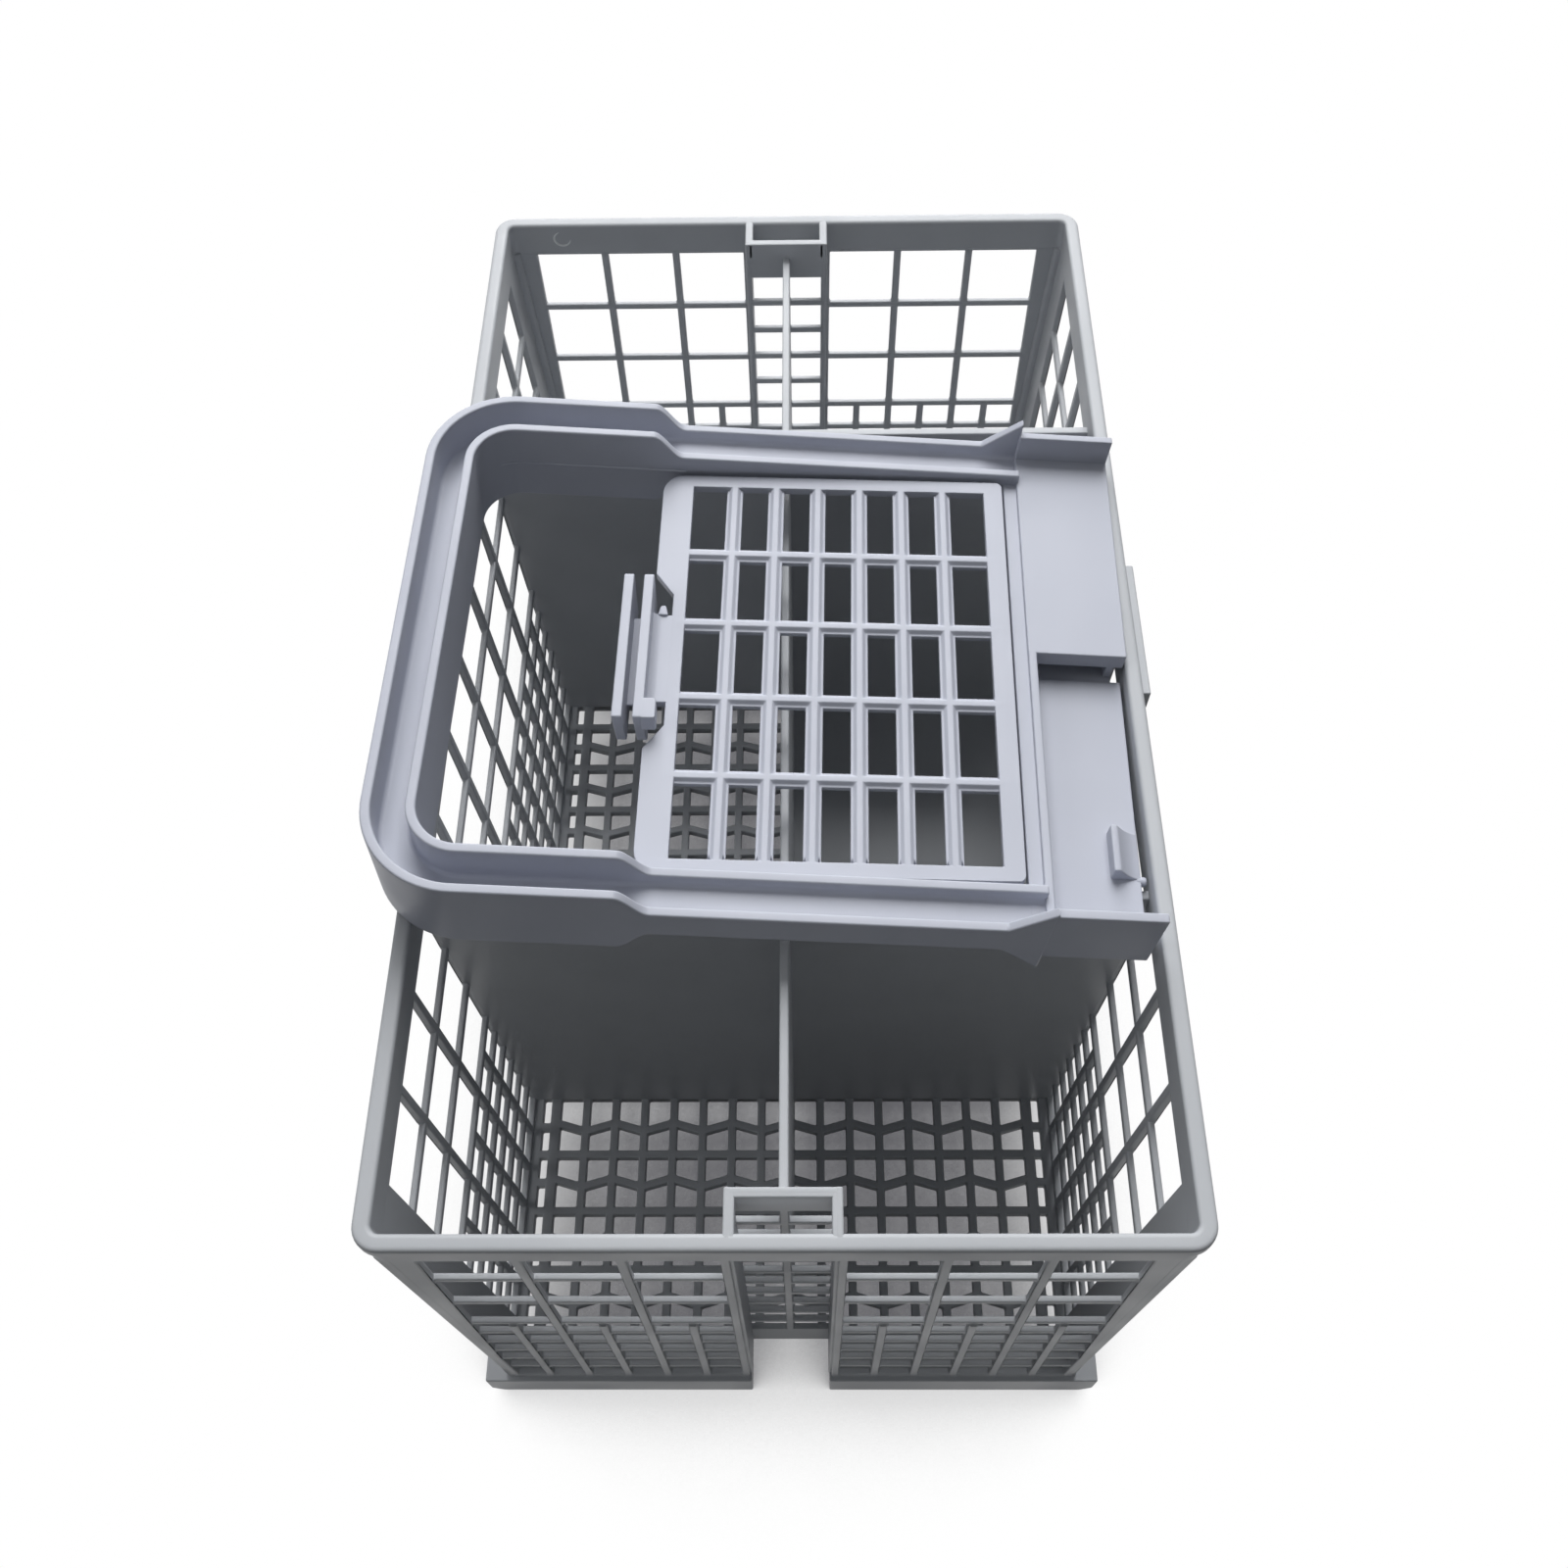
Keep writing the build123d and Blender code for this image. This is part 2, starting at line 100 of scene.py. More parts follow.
@dataclass(frozen=True)
class Skin:
    """A closed surface: its points, and groups of faces that share a corner count."""

    points: np.ndarray
    faces: tuple[np.ndarray, ...]

    @staticmethod
    def joined(skins: list["Skin"]) -> "Skin":
        """Several skins as one, each keeping its own points.

        Args:
            skins: the skins to put together.

        Returns:
            One skin, its face numbers shifted by the points that come before.
        """
        starts = np.cumsum([0] + [len(skin.points) for skin in skins])
        faces = [group + start for skin, start in zip(skins, starts) for group in skin.faces]
        return Skin(np.concatenate([skin.points for skin in skins]), tuple(faces))

    def moved(self, place: np.ndarray) -> "Skin":
        """The skin turned and shifted by a 4 by 4 matrix."""
        return Skin(self.points @ place[:3, :3].T + place[:3, 3], self.faces)

    def turned(self) -> "Skin":
        """The skin with its faces the other way round."""
        return Skin(self.points, tuple(group[:, ::-1] for group in self.faces))

    def mirrored(self, axis: Axis) -> "Skin":
        """The skin reflected through the plane across an axis, its faces turned back outwards."""
        signs = np.where(np.arange(3) == axis.value, -1.0, 1.0)
        return Skin(self.points * signs, self.faces).turned()

    def volume(self) -> float:
        """Signed volume inside the skin.

        Returns:
            A sixth of the sum of a . (b x c) over a fan of triangles in each face.
        """
        total = 0.0
        for group in self.faces:
            corner = self.points[group]
            first, second, third = corner[:, :1], corner[:, 1:-1], corner[:, 2:]
            total += float(np.sum(first * np.cross(second, third)))
        return total / 6.0

    def outward(self) -> "Skin":
        """The same skin with its faces pointing out."""
        return self if self.volume() >= 0.0 else self.turned()

    def to_mesh(self, name: str) -> bpy.types.Mesh:
        """Write the skin into a new mesh, in metres, shaded smooth.

        Args:
            name: the mesh's name.

        Returns:
            The new mesh.
        """
        corners = np.concatenate([group.ravel() for group in self.faces]).astype(np.int32)
        counts = np.concatenate([np.full(len(group), group.shape[1]) for group in self.faces])
        starts = np.concatenate(([0], np.cumsum(counts)[:-1])).astype(np.int32)
        mesh = bpy.data.meshes.new(name)
        mesh.vertices.add(len(self.points))
        mesh.vertices.foreach_set("co", (self.points * MM).astype(np.float32).ravel())
        mesh.loops.add(len(corners))
        mesh.loops.foreach_set("vertex_index", corners)
        mesh.polygons.add(len(counts))
        mesh.polygons.foreach_set("loop_start", starts)
        mesh.polygons.foreach_set("use_smooth", np.ones(len(counts), dtype=bool))
        mesh.update(calc_edges=True)
        mesh.validate()
        return mesh


def stacked(*parts: np.ndarray) -> np.ndarray:
    """Arrays of coordinates as points, each spread to their common shape."""
    return np.stack(np.broadcast_arrays(*parts), -1)


def heading(angle: np.ndarray) -> np.ndarray:
    """Unit vectors (cos, sin) at these angles."""
    return np.stack((np.cos(angle), np.sin(angle)), -1)


def lifted(plan: np.ndarray, level: np.ndarray) -> np.ndarray:
    """Points of a plan, stations by corners by 2, at the height of each corner."""
    height = np.broadcast_to(level, plan.shape[:2])
    return np.concatenate((plan, height[..., None]), -1)


def swept(grid: np.ndarray, ring: bool = False) -> Skin:
    """Skin of a closed profile carried along a path.

    Point (i, j) of the grid is corner j of the profile at station i; four neighbours make a face.

    Args:
        grid: stations by corners by 3.
        ring: whether the last station joins the first; an open path gets an end face at each end.

    Returns:
        The closed skin.
    """
    stations, corners = grid.shape[:2]
    number = np.arange(stations * corners).reshape(stations, corners)
    ahead = np.roll(number, -1, axis=0) if ring else number[1:]
    here = number if ring else number[:-1]
    quads = np.stack((here, np.roll(here, -1, 1), np.roll(ahead, -1, 1), ahead), -1).reshape(-1, 4)
    caps = () if ring else (number[:1, ::-1], number[-1:])
    return Skin(grid.reshape(-1, 3), (quads, *caps)).outward()


def prism(outline: np.ndarray, low: float, high: float, axis: Axis) -> Skin:
    """Outline carried straight along an axis, from low to high.

    Args:
        outline: corners by 2, in the two other axes in their usual order.
        low: where it starts.
        high: where it ends.
        axis: the direction.

    Returns:
        The closed skin.
    """
    level = np.repeat([low, high], len(outline)).reshape(2, -1)
    flat = np.broadcast_to(outline, (2, *outline.shape))
    return swept(np.insert(flat, axis.value, level, axis=2))


def block(x: tuple[float, float], y: tuple[float, float], z: tuple[float, float]) -> Skin:
    """Box between two limits on each axis, as a rectangle carried along Z."""
    outline = np.array([(x[0], y[0]), (x[1], y[0]), (x[1], y[1]), (x[0], y[1])])
    return prism(outline, z[0], z[1], Axis.Z)


def disc(centre: tuple[float, float], radius: float, sides: int) -> np.ndarray:
    """Round outline: the centre plus the radius times the headings at even steps."""
    turn = np.linspace(0.0, 2 * math.pi, sides + 1)[:-1]
    return radius * heading(turn) + np.array(centre)


def rounded(outline: np.ndarray, radii: np.ndarray, steps: int = 4) -> np.ndarray:
    """Outline with its corners eased.

    Corner p between directions a and b becomes the curve (1-s)^2 (p+ra) + 2s(1-s) p + s^2 (p+rb).

    Args:
        outline: corners by 2.
        radii: how far along each side the curve starts; nought keeps the corner.
        steps: pieces in each curve.

    Returns:
        The eased outline, without repeated points.
    """
    reach = np.asarray(radii, float)[:, None]
    back = np.roll(outline, 1, 0) - outline
    ahead = np.roll(outline, -1, 0) - outline
    start = outline + reach * back / np.linalg.norm(back, axis=1, keepdims=True)
    end = outline + reach * ahead / np.linalg.norm(ahead, axis=1, keepdims=True)
    s = np.linspace(0.0, 1.0, steps + 1)[None, :, None]
    curve = (1 - s) ** 2 * start[:, None] + 2 * s * (1 - s) * outline[:, None] + s**2 * end[:, None]
    points = curve.reshape(-1, 2)
    fresh = np.linalg.norm(points - np.roll(points, 1, 0), axis=1) > SAME_POINT
    return points[fresh]


def bar_edges(centres: np.ndarray, width: float) -> np.ndarray:
    """Both edges of every bar, in order."""
    return np.sort(np.concatenate((centres - width / 2, centres + width / 2)))


def within(middles: np.ndarray, centres: np.ndarray, width: float) -> np.ndarray:
    """Which of the middles lie on a bar of this width about one of the centres."""
    return np.any(np.abs(middles[:, None] - centres[None, :]) < width / 2, axis=1)


def midway(lines: np.ndarray) -> np.ndarray:
    """Middles between neighbouring lines."""
    return (lines[:-1] + lines[1:]) / 2


# Gives the points of a plate for arrays of depth, u and v.
Placing = Callable[[np.ndarray, np.ndarray, np.ndarray], np.ndarray]


def lattice(
    u: np.ndarray,
    v: np.ndarray,
    depth: tuple[float, float, float],
    solid: np.ndarray,
    raised: np.ndarray,
    place: Placing,
) -> Skin:
    """Pierced plate on a grid of lines, with bars of two heights.

    The cell between neighbouring lines is filled up to the second depth where solid says so and
    up to the third where raised does. Side faces stand wherever a filled cell meets an empty one.

    Args:
        u: lines one way.
        v: lines the other way.
        depth: back, step and front of the plate.
        solid: cells that are filled, u by v.
        raised: those of them that stand up to the front.
        place: gives the points for arrays of depth, u and v.

    Returns:
        The closed skin, without unused points.
    """
    raised = raised & solid
    number = np.arange(3 * len(u) * len(v)).reshape(3, len(u), len(v))

    def cells(layer: int, mask: np.ndarray) -> np.ndarray:
        """Faces of the masked cells in one layer."""
        n = number[layer]
        return np.stack((n[:-1, :-1], n[1:, :-1], n[1:, 1:], n[:-1, 1:]), -1)[mask]

    def sides(low: int, edge: np.ndarray, along: tuple[int, int], turned: bool) -> np.ndarray:
        """Faces that stand on the marked grid edges, between one layer and the next.

        Args:
            low: the lower layer.
            edge: which grid edges carry a face.
            along: the step in u and v to an edge's other end.
            turned: whether the faces are turned round.

        Returns:
            The faces, four corners each.
        """
        i, j = np.nonzero(edge)
        foot, head = number[low], number[low + 1]
        k, m = i + along[0], j + along[1]
        faces = np.stack((foot[i, j], foot[k, m], head[k, m], head[i, j]), -1)
        return faces[:, ::-1] if turned else faces

    quads = [cells(0, solid)[:, ::-1], cells(1, solid & ~raised), cells(2, raised)]
    for low, mask in ((0, solid), (1, raised)):
        padded = np.pad(mask, 1)
        before, after = padded[:-1, 1:-1], padded[1:, 1:-1]
        quads.append(sides(low, after & ~before, (0, 1), True))
        quads.append(sides(low, before & ~after, (0, 1), False))
        before, after = padded[1:-1, :-1], padded[1:-1, 1:]
        quads.append(sides(low, after & ~before, (1, 0), False))
        quads.append(sides(low, before & ~after, (1, 0), True))
    faces = np.concatenate(quads)
    points = place(np.asarray(depth, float)[:, None, None], u[None, :, None], v[None, None, :])
    used, fresh = np.unique(faces, return_inverse=True)
    return Skin(points.reshape(-1, 3)[used], (fresh.reshape(faces.shape),)).outward()


@dataclass(frozen=True)
class EdgeRound:
    """Small radius that a moulding has on its edges."""

    width: float = 0.32
    segments: int = 2
    angle: float = 40.0

    def apply(self, piece: bpy.types.Object) -> None:
        """Add the radius, and shading that keeps the flat faces flat.

        Args:
            piece: the object that gets them.
        """
        bevel = piece.modifiers.new("edge_radius", "BEVEL")
        bevel.width = self.width * MM
        bevel.segments = self.segments
        bevel.limit_method = "ANGLE"
        bevel.angle_limit = math.radians(self.angle)
        bevel.use_clamp_overlap = False
        weighted = piece.modifiers.new("flat_faces", "WEIGHTED_NORMAL")
        weighted.keep_sharp = False


def dial(node: bpy.types.Node, settings: dict[str, float | tuple[float, ...]]) -> bpy.types.Node:
    """Set inputs of a node.

    Args:
        node: the node.
        settings: values by the inputs' names.

    Returns:
        The same node.
    """
    for name, value in settings.items():
        node.inputs[name].default_value = value
    return node


class NodeGroups:
    """Shader node groups that the plastic finishes share."""

    @staticmethod
    def begun(name: str, inputs: dict[str, Socket], outputs: dict[str, Socket]) -> bpy.types.NodeTree:
        """Start a group with its named sockets.

        Args:
            name: the group's name.
            inputs: what it takes.
            outputs: what it gives.

        Returns:
            The group, with nothing inside yet.
        """
        group = bpy.data.node_groups.new(name, "ShaderNodeTree")
        for way, sockets in (("INPUT", inputs), ("OUTPUT", outputs)):
            for label, kind in sockets.items():
                group.interface.new_socket(label, in_out=way, socket_type=kind.value)
        return group

    @staticmethod
    def moulded_grain() -> bpy.types.NodeTree:
        """Fine texture of the mould's surface.

        Returns:
            The group: a height for the bump and a shade for the roughness.
        """
        known = bpy.data.node_groups.get("moulded_grain")
        if known:
            return known
        takes = {"Vector": Socket.VECTOR, "Fineness": Socket.VALUE, "Matt": Socket.VALUE}
        gives = {"Height": Socket.VALUE, "Roughness": Socket.VALUE}
        group = NodeGroups.begun("moulded_grain", takes, gives)
        nodes, links = group.nodes, group.links
        given, out = nodes.new("NodeGroupInput"), nodes.new("NodeGroupOutput")
        fine = dial(nodes.new("ShaderNodeTexNoise"), {"Detail": 3.0, "Roughness": 0.6})
        broad = dial(nodes.new("ShaderNodeTexNoise"), {"Scale": 60.0, "Detail": 4.0})
        links.new(given.outputs["Vector"], fine.inputs["Vector"])
        links.new(given.outputs["Vector"], broad.inputs["Vector"])
        links.new(given.outputs["Fineness"], fine.inputs["Scale"])
        spread = {"From Min": 0.3, "From Max": 0.7, "To Min": -0.07, "To Max": 0.07}
        shift = dial(nodes.new("ShaderNodeMapRange"), spread)
        links.new(broad.outputs["Fac"], shift.inputs["Value"])
        total = nodes.new("ShaderNodeMath")
        total.operation = "ADD"
        total.use_clamp = True
        links.new(shift.outputs["Result"], total.inputs[0])
        links.new(given.outputs["Matt"], total.inputs[1])
        links.new(fine.outputs["Fac"], out.inputs["Height"])
        links.new(total.outputs["Value"], out.inputs["Roughness"])
        return group

    @staticmethod
    def flow_tone() -> bpy.types.NodeTree:
        """Faint clouding where the plastic flowed into the mould.

        Returns:
            The group: a colour between a pale and a deep tone.
        """
        known = bpy.data.node_groups.get("flow_tone")
        if known:
            return known
        takes = {
            "Vector": Socket.VECTOR,
            "Pale": Socket.COLOUR,
            "Deep": Socket.COLOUR,
            "Patch": Socket.VALUE,
        }
        group = NodeGroups.begun("flow_tone", takes, {"Color": Socket.COLOUR})
        nodes, links = group.nodes, group.links
        given, out = nodes.new("NodeGroupInput"), nodes.new("NodeGroupOutput")
        stretch = dial(nodes.new("ShaderNodeMapping"), {"Scale": (1.0, 0.35, 1.0)})
        cloud = dial(nodes.new("ShaderNodeTexNoise"), {"Detail": 4.0, "Distortion": 0.6})
        spread = dial(nodes.new("ShaderNodeMapRange"), {"From Min": 0.32, "From Max": 0.68})
        spread.interpolation_type = "SMOOTHSTEP"
        blend = nodes.new("ShaderNodeMix")
        blend.data_type = "RGBA"
        # A mix of colours has its factor at input 0, the colours at 6 and 7, and the result at output 2.
        factor, first, second, mixed = blend.inputs[0], blend.inputs[6], blend.inputs[7], blend.outputs[2]
        links.new(given.outputs["Vector"], stretch.inputs["Vector"])
        links.new(stretch.outputs["Vector"], cloud.inputs["Vector"])
        links.new(given.outputs["Patch"], cloud.inputs["Scale"])
        links.new(cloud.outputs["Fac"], spread.inputs["Value"])
        links.new(spread.outputs["Result"], factor)
        links.new(given.outputs["Pale"], first)
        links.new(given.outputs["Deep"], second)
        links.new(mixed, out.inputs["Color"])
        return group


@dataclass(frozen=True)
class PlasticFinish:
    """Semi-matt moulded polypropylene; the grain's depth is in millimetres."""

    name: str
    pale: tuple[float, float, float]
    deep: tuple[float, float, float]
    matt: float = 0.42
    ior: float = 1.49
    specular: float = 0.2
    fineness: float = 2600.0
    grain: float = 0.10
    grain_depth: float = 0.1
    patch: float = 22.0

    def material(self) -> bpy.types.Material:
        """Build the material.

        Returns:
            A material on object coordinates: clouded colour, broken roughness and a fine grain.
        """
        known = bpy.data.materials.get(self.name)
        if known:
            return known
        made = bpy.data.materials.new(self.name)
        made.use_nodes = True
        nodes, links = made.node_tree.nodes, made.node_tree.links
        shader = dial(nodes["Principled BSDF"], {"IOR": self.ior, "Specular IOR Level": self.specular})
        where = nodes.new("ShaderNodeTexCoord")
        grain, tone = nodes.new("ShaderNodeGroup"), nodes.new("ShaderNodeGroup")
        grain.node_tree = NodeGroups.moulded_grain()
        tone.node_tree = NodeGroups.flow_tone()
        dial(grain, {"Fineness": self.fineness, "Matt": self.matt})
        dial(tone, {"Pale": (*self.pale, 1.0), "Deep": (*self.deep, 1.0), "Patch": self.patch})
        relief = {"Strength": self.grain, "Distance": self.grain_depth * MM}
        bump = dial(nodes.new("ShaderNodeBump"), relief)
        links.new(where.outputs["Object"], grain.inputs["Vector"])
        links.new(where.outputs["Object"], tone.inputs["Vector"])
        links.new(tone.outputs["Color"], shader.inputs["Base Color"])
        links.new(grain.outputs["Roughness"], shader.inputs["Roughness"])
        links.new(grain.outputs["Height"], bump.inputs["Height"])
        links.new(bump.outputs["Normal"], shader.inputs["Normal"])
        return made


@dataclass(frozen=True)
class Mounting:
    """What a piece rides on, and the solid it stands for."""

    body: Body
    node: str

    def fit(self, name: str, skin: Skin, finish: PlasticFinish, edges: EdgeRound) -> bpy.types.Object:
        """Make an object of a skin, dress it and put it on its body.

        Args:
            name: the piece's name.
            skin: its surface.
            finish: its plastic.
            edges: the radius on its edges.

        Returns:
            The finished piece.
        """
        piece = bpy.data.objects.new(name, skin.to_mesh(name))
        bpy.context.scene.collection.objects.link(piece)
        piece.data.materials.append(finish.material())
        edges.apply(piece)
        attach(piece, self.body.value)
        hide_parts(self.node)
        LOG.info("%s: %d faces before its edge radius", name, len(piece.data.polygons))
        return piece


@dataclass(frozen=True)
class Tub:
    """The basket moulding: lattice walls and floor, rim, inner walls, pockets and feet."""

    finish: PlasticFinish
    # Pale finish of the gate scar: a painted highlight standing in for the light its raised ring catches.
    scar_highlight: PlasticFinish
    edges: EdgeRound = EdgeRound()
    scar_edges: EdgeRound = EdgeRound(0.02, 1)
    width: float = 136.0
    length: float = 240.0
    height: float = 122.0
    wall: float = 1.6
    wall_overlap: float = 0.5
    rib_proud: float = 0.4
    lean: float = 5.0
    floor_top: float = 12.0
    floor_bottom: float = 9.6
    rim_width: float = 3.0
    rim_height: float = 3.0
    rim_lip: float = 1.0
    rim_corner: float = 4.5
    rim_edge: float = 0.9
    bead_edge: float = 0.35
    band_bottom: float = 114.0
    band_top: float = 118.2
    band_lip: float = 0.5
    band_edge: float = 0.3
    groove_depth: float = 0.25
    groove_edge: float = 0.2
    catch_half: float = 15.5
    catch_lip: float = 1.5
    catch_height: float = 5.0
    post: float = 3.2
    post_edges: tuple[float, ...] = (1.0, 0.4, 2.4, 0.4)
    post_overlap: float = 0.4
    bar: float = 1.65
    tall_pitch: float = 17.0
    tall_bars: int = 4
    low_pitch: float = 8.5
    low_bars: int = 6
    corner_band: float = 12.4
    bay_ribs: int = 4
    middle_ribs: int = 7
    end_ribs: int = 4
    cross_wall_y: float = 56.0
    cross_wall_top: float = 117.0
    cross_wall_thick: float = 1.8
    divider_top: float = 118.0
    divider_thick: float = 1.6
    plate_sink: float = 1.2
    floor_pitch: float = 6.9
    floor_columns: int = 8
    floor_row: float = 6.6
    bay_rows: int = 7
    middle_rows: int = 16
    floor_bar: float = 1.85
    floor_overlap: float = 0.6
    zigzag: float = 1.0
    slot_inner: float = 56.7
    slot_outer: float = 58.4
    pocket_half: float = 9.5
    pocket_wall: float = 1.3
    collar_wall: float = 1.8
    collar_bottom: float = 118.0
    panel_inner: float = 109.7
    panel_lead: float = 0.9
    panel_bar: float = 1.6
    panel_bars: int = 13
    panel_drop: float = 1.0
    rail_inset: float = 0.1
    foot_half: float = 66.5
    foot_notch: float = 8.5
    foot_inner: float = 114.0
    foot_top: float = 10.5
    foot_chamfer: float = 2.5
    scar_x: float = -52.9
    scar_z: float = 118.2
    scar_radius: float = 1.9
    scar_rise: float = 0.32
    scar_sunk: float = 0.05
    scar_start: float = 105.0
    scar_sweep: float = 250.0
    scar_least: float = 0.02
    scar_stations: int = 25
    scar_sides: int = 12
    skin_gap: float = 0.03

    def half_width(self, z: np.ndarray) -> np.ndarray:
        """Half the outside width between the leaning side walls at height z."""
        lean = self.lean * (self.height - z) / (self.height - self.floor_top)
        return self.width / 2 - self.rim_lip - lean

    def rows(self) -> np.ndarray:
        """Heights of the wall bars.

        Returns:
            The heights from the lowest up: half as far apart below as above.
        """
        tall = self.band_bottom - self.tall_pitch * np.arange(self.tall_bars)
        low = tall[-1] - self.low_pitch * np.arange(1, self.low_bars + 1)
        return np.concatenate((low[::-1], tall[::-1]))

    def wall_levels(self) -> np.ndarray:
        """Lines in height of a wall's grid.

        Returns:
            The bars' edges between the floor's underside and the wall's top, inside the band.
        """
        z = np.concatenate(([self.floor_bottom], bar_edges(self.rows(), self.bar)))
        z[-1] = self.band_bottom + self.wall_overlap
        return z

    def wall_masks(
        self, across: np.ndarray, up: np.ndarray, ribs: np.ndarray, frame: np.ndarray
    ) -> tuple[np.ndarray, np.ndarray]:
        """Which cells of a wall are filled, and which stand proud.

        Args:
            across: lines along the wall.
            up: lines in height.
            ribs: places of the full-height ribs.
            frame: which of the cells along the wall belong to its solid border.

        Returns:
            The filled cells, and those of ribs and border, which stand proud of the level bars.
        """
        along, level = midway(across), midway(up)
        rib = within(along, ribs, self.bar) | frame
        short = within(along, midway(ribs), self.bar)
        rows = self.rows()
        edge = (level > rows[-1] - self.bar / 2) | (level < rows[0] + self.bar / 2)
        bar = within(level, rows, self.bar) | edge
        low = level < rows[self.low_bars] - self.bar / 2
        proud = rib[:, None] | (short[:, None] & low[None, :]) | edge[None, :]
        return proud | bar[None, :], proud

    def side_wall(self) -> Skin:
        """Right wall: a leaning lattice, its ribs standing proud outside.

        Returns:
            The wall, x = half width at z, less the wall, plus the depth.
        """
        edge = self.length / 2 - self.corner_band
        bay = np.linspace(self.cross_wall_y, edge, self.bay_ribs)
        middle = np.linspace(-self.cross_wall_y, self.cross_wall_y, self.middle_ribs)[1:-1]
        ribs = np.concatenate((-bay[::-1], middle, bay))
        end = self.length / 2 - self.rim_lip - self.wall / 2
        y = np.concatenate(([-end], bar_edges(np.concatenate((ribs, midway(ribs))), self.bar), [end]))
        z = self.wall_levels()
        solid, proud = self.wall_masks(y, z, ribs, np.abs(midway(y)) > edge)
        depth = (0.0, self.wall - self.rib_proud, self.wall)

        def place(w: np.ndarray, u: np.ndarray, v: np.ndarray) -> np.ndarray:
            """Points of the leaning wall."""
            return stacked(self.half_width(v) - self.wall + w, u, v)

        return lattice(y, z, depth, solid, proud, place)

    def end_wall(self) -> Skin:
        """Right half of the far wall, from the pocket to the leaning corner.

        Returns:
            The wall, its outermost line following the side wall's lean.
        """
        ribs = self.pocket_half + self.tall_pitch * np.arange(self.end_ribs)
        bars = bar_edges(np.concatenate((ribs, midway(ribs))), self.bar)
        x = np.concatenate((bars, [self.width / 2]))
        x[0] = self.pocket_half - self.pocket_wall / 2
        z = self.wall_levels()
        solid, proud = self.wall_masks(x, z, ribs, midway(x) > ribs[-1])
        outer = self.length / 2 - self.rim_lip
        depth = (outer - self.wall, outer - self.rib_proud, outer)

        def place(w: np.ndarray, u: np.ndarray, v: np.ndarray) -> np.ndarray:
            """Points of the upright wall; the last line leans."""
            return stacked(np.minimum(u, self.half_width(v) - self.wall / 2), w, v)

        return lattice(x, z, depth, solid, proud, place)

    def corner_post(self) -> Skin:
        """Rounded upright edge where the far wall meets the right one.

        Returns:
            A rounded square in plan, carried down the leaning corner.
        """
        size = self.post
        corner = np.array([(-size, -size), (0.0, -size), (0.0, 0.0), (-size, 0.0)])
        plan = rounded(corner, np.array(self.post_edges), steps=6) + self.skin_gap
        z = np.array([self.floor_bottom + HAIR, self.band_bottom + self.post_overlap])
        x = plan[None, :, 0] + self.half_width(z)[:, None]
        y = plan[None, :, 1] + self.length / 2 - self.rim_lip
        return swept(stacked(x, y, z[:, None]))

    def rim_path(self, inset: np.ndarray, quarter: int = 8) -> np.ndarray:
        """Rounded rectangle drawn in by each inset.

        Each corner is an arc about a fixed centre, its radius less the inset; the sides are straight.

        Args:
            inset: how far in, one value for each corner of a profile.
            quarter: steps in each arc.

        Returns:
            Stations by insets by 2.
        """
        angle = np.linspace(0.0, math.pi / 2, quarter + 1)
        turns = np.concatenate([angle + math.pi / 2 * n for n in range(4)])
        sign = np.repeat(np.array([(1, 1), (-1, 1), (-1, -1), (1, -1)]), quarter + 1, axis=0)
        middle = sign * np.array([self.width / 2 - self.rim_corner, self.length / 2 - self.rim_corner])
        return middle[:, None, :] + heading(turns)[:, None, :] * (self.rim_corner - inset)[None, :, None]

    def rim(self) -> Skin:
        """Bead, groove and band in one profile carried round the top, with a catch on each side.

        Returns:
            The bead with rounded top edges, joined by the two catches.
        """
        top, bottom = self.height, self.band_bottom
        under = top - self.rim_height
        groove = self.rim_lip + self.groove_depth
        corners = np.array(
            [
                (0.0, under, self.bead_edge),
                (0.0, top, self.rim_edge),
                (self.rim_width, top, self.rim_edge),
                (self.rim_width + self.skin_gap, bottom, 0.0),
                (self.band_lip, bottom, self.band_edge),
                (self.band_lip, self.band_top, self.band_edge),
                (groove, self.band_top, self.groove_edge),
                (groove, under, self.groove_edge),
            ]
        )
        profile = rounded(corners[:, :2], corners[:, 2])
        ring = swept(lifted(self.rim_path(profile[:, 0]), profile[:, 1]), ring=True)
        catch_top = top - self.rim_edge
        catch = block(
            (self.width / 2 - self.rim_width / 2, self.width / 2 + self.catch_lip),
            (-self.catch_half, self.catch_half),
            (catch_top - self.catch_height, catch_top),
        )
        return Skin.joined([ring, catch, catch.mirrored(Axis.X)])

    def inner_walls(self) -> Skin:
        """Two cross walls and the long divider.

        Returns:
            Plates that stand a little way into the floor; the cross walls follow the side walls' lean.
        """
        low = self.floor_top - self.plate_sink
        z = np.array([low, self.cross_wall_top])
        x = self.half_width(z) - self.wall / 2
        plate = np.array([(-x[0], z[0]), (x[0], z[0]), (x[1], z[1]), (-x[1], z[1])])
        half = self.cross_wall_thick / 2
        walls = [prism(plate, y - half, y + half, Axis.Y) for y in (-self.cross_wall_y, self.cross_wall_y)]
        thin = self.divider_thick / 2
        reach = self.panel_inner + self.pocket_wall / 2
        divider = block((-thin, thin), (-reach, reach), (low, self.divider_top))
        return Skin.joined([*walls, divider])

    def floor_lines(self) -> tuple[np.ndarray, np.ndarray]:
        """Places of the floor's cross bars.

        Returns:
            Where they lie, from the near end to the far one, and which of them zigzag.
        """
        face = self.cross_wall_thick / 2
        bay_count, middle_count = np.arange(1, self.bay_rows + 1), np.arange(1, self.middle_rows + 1)
        bay = self.cross_wall_y + face + self.floor_row * bay_count
        middle = np.linspace(face - self.cross_wall_y, self.cross_wall_y - face, self.middle_rows + 2)[1:-1]
        count = np.concatenate((bay_count[::-1], middle_count, bay_count))
        return np.concatenate((-bay[::-1], middle, bay)), count % 2 == 1

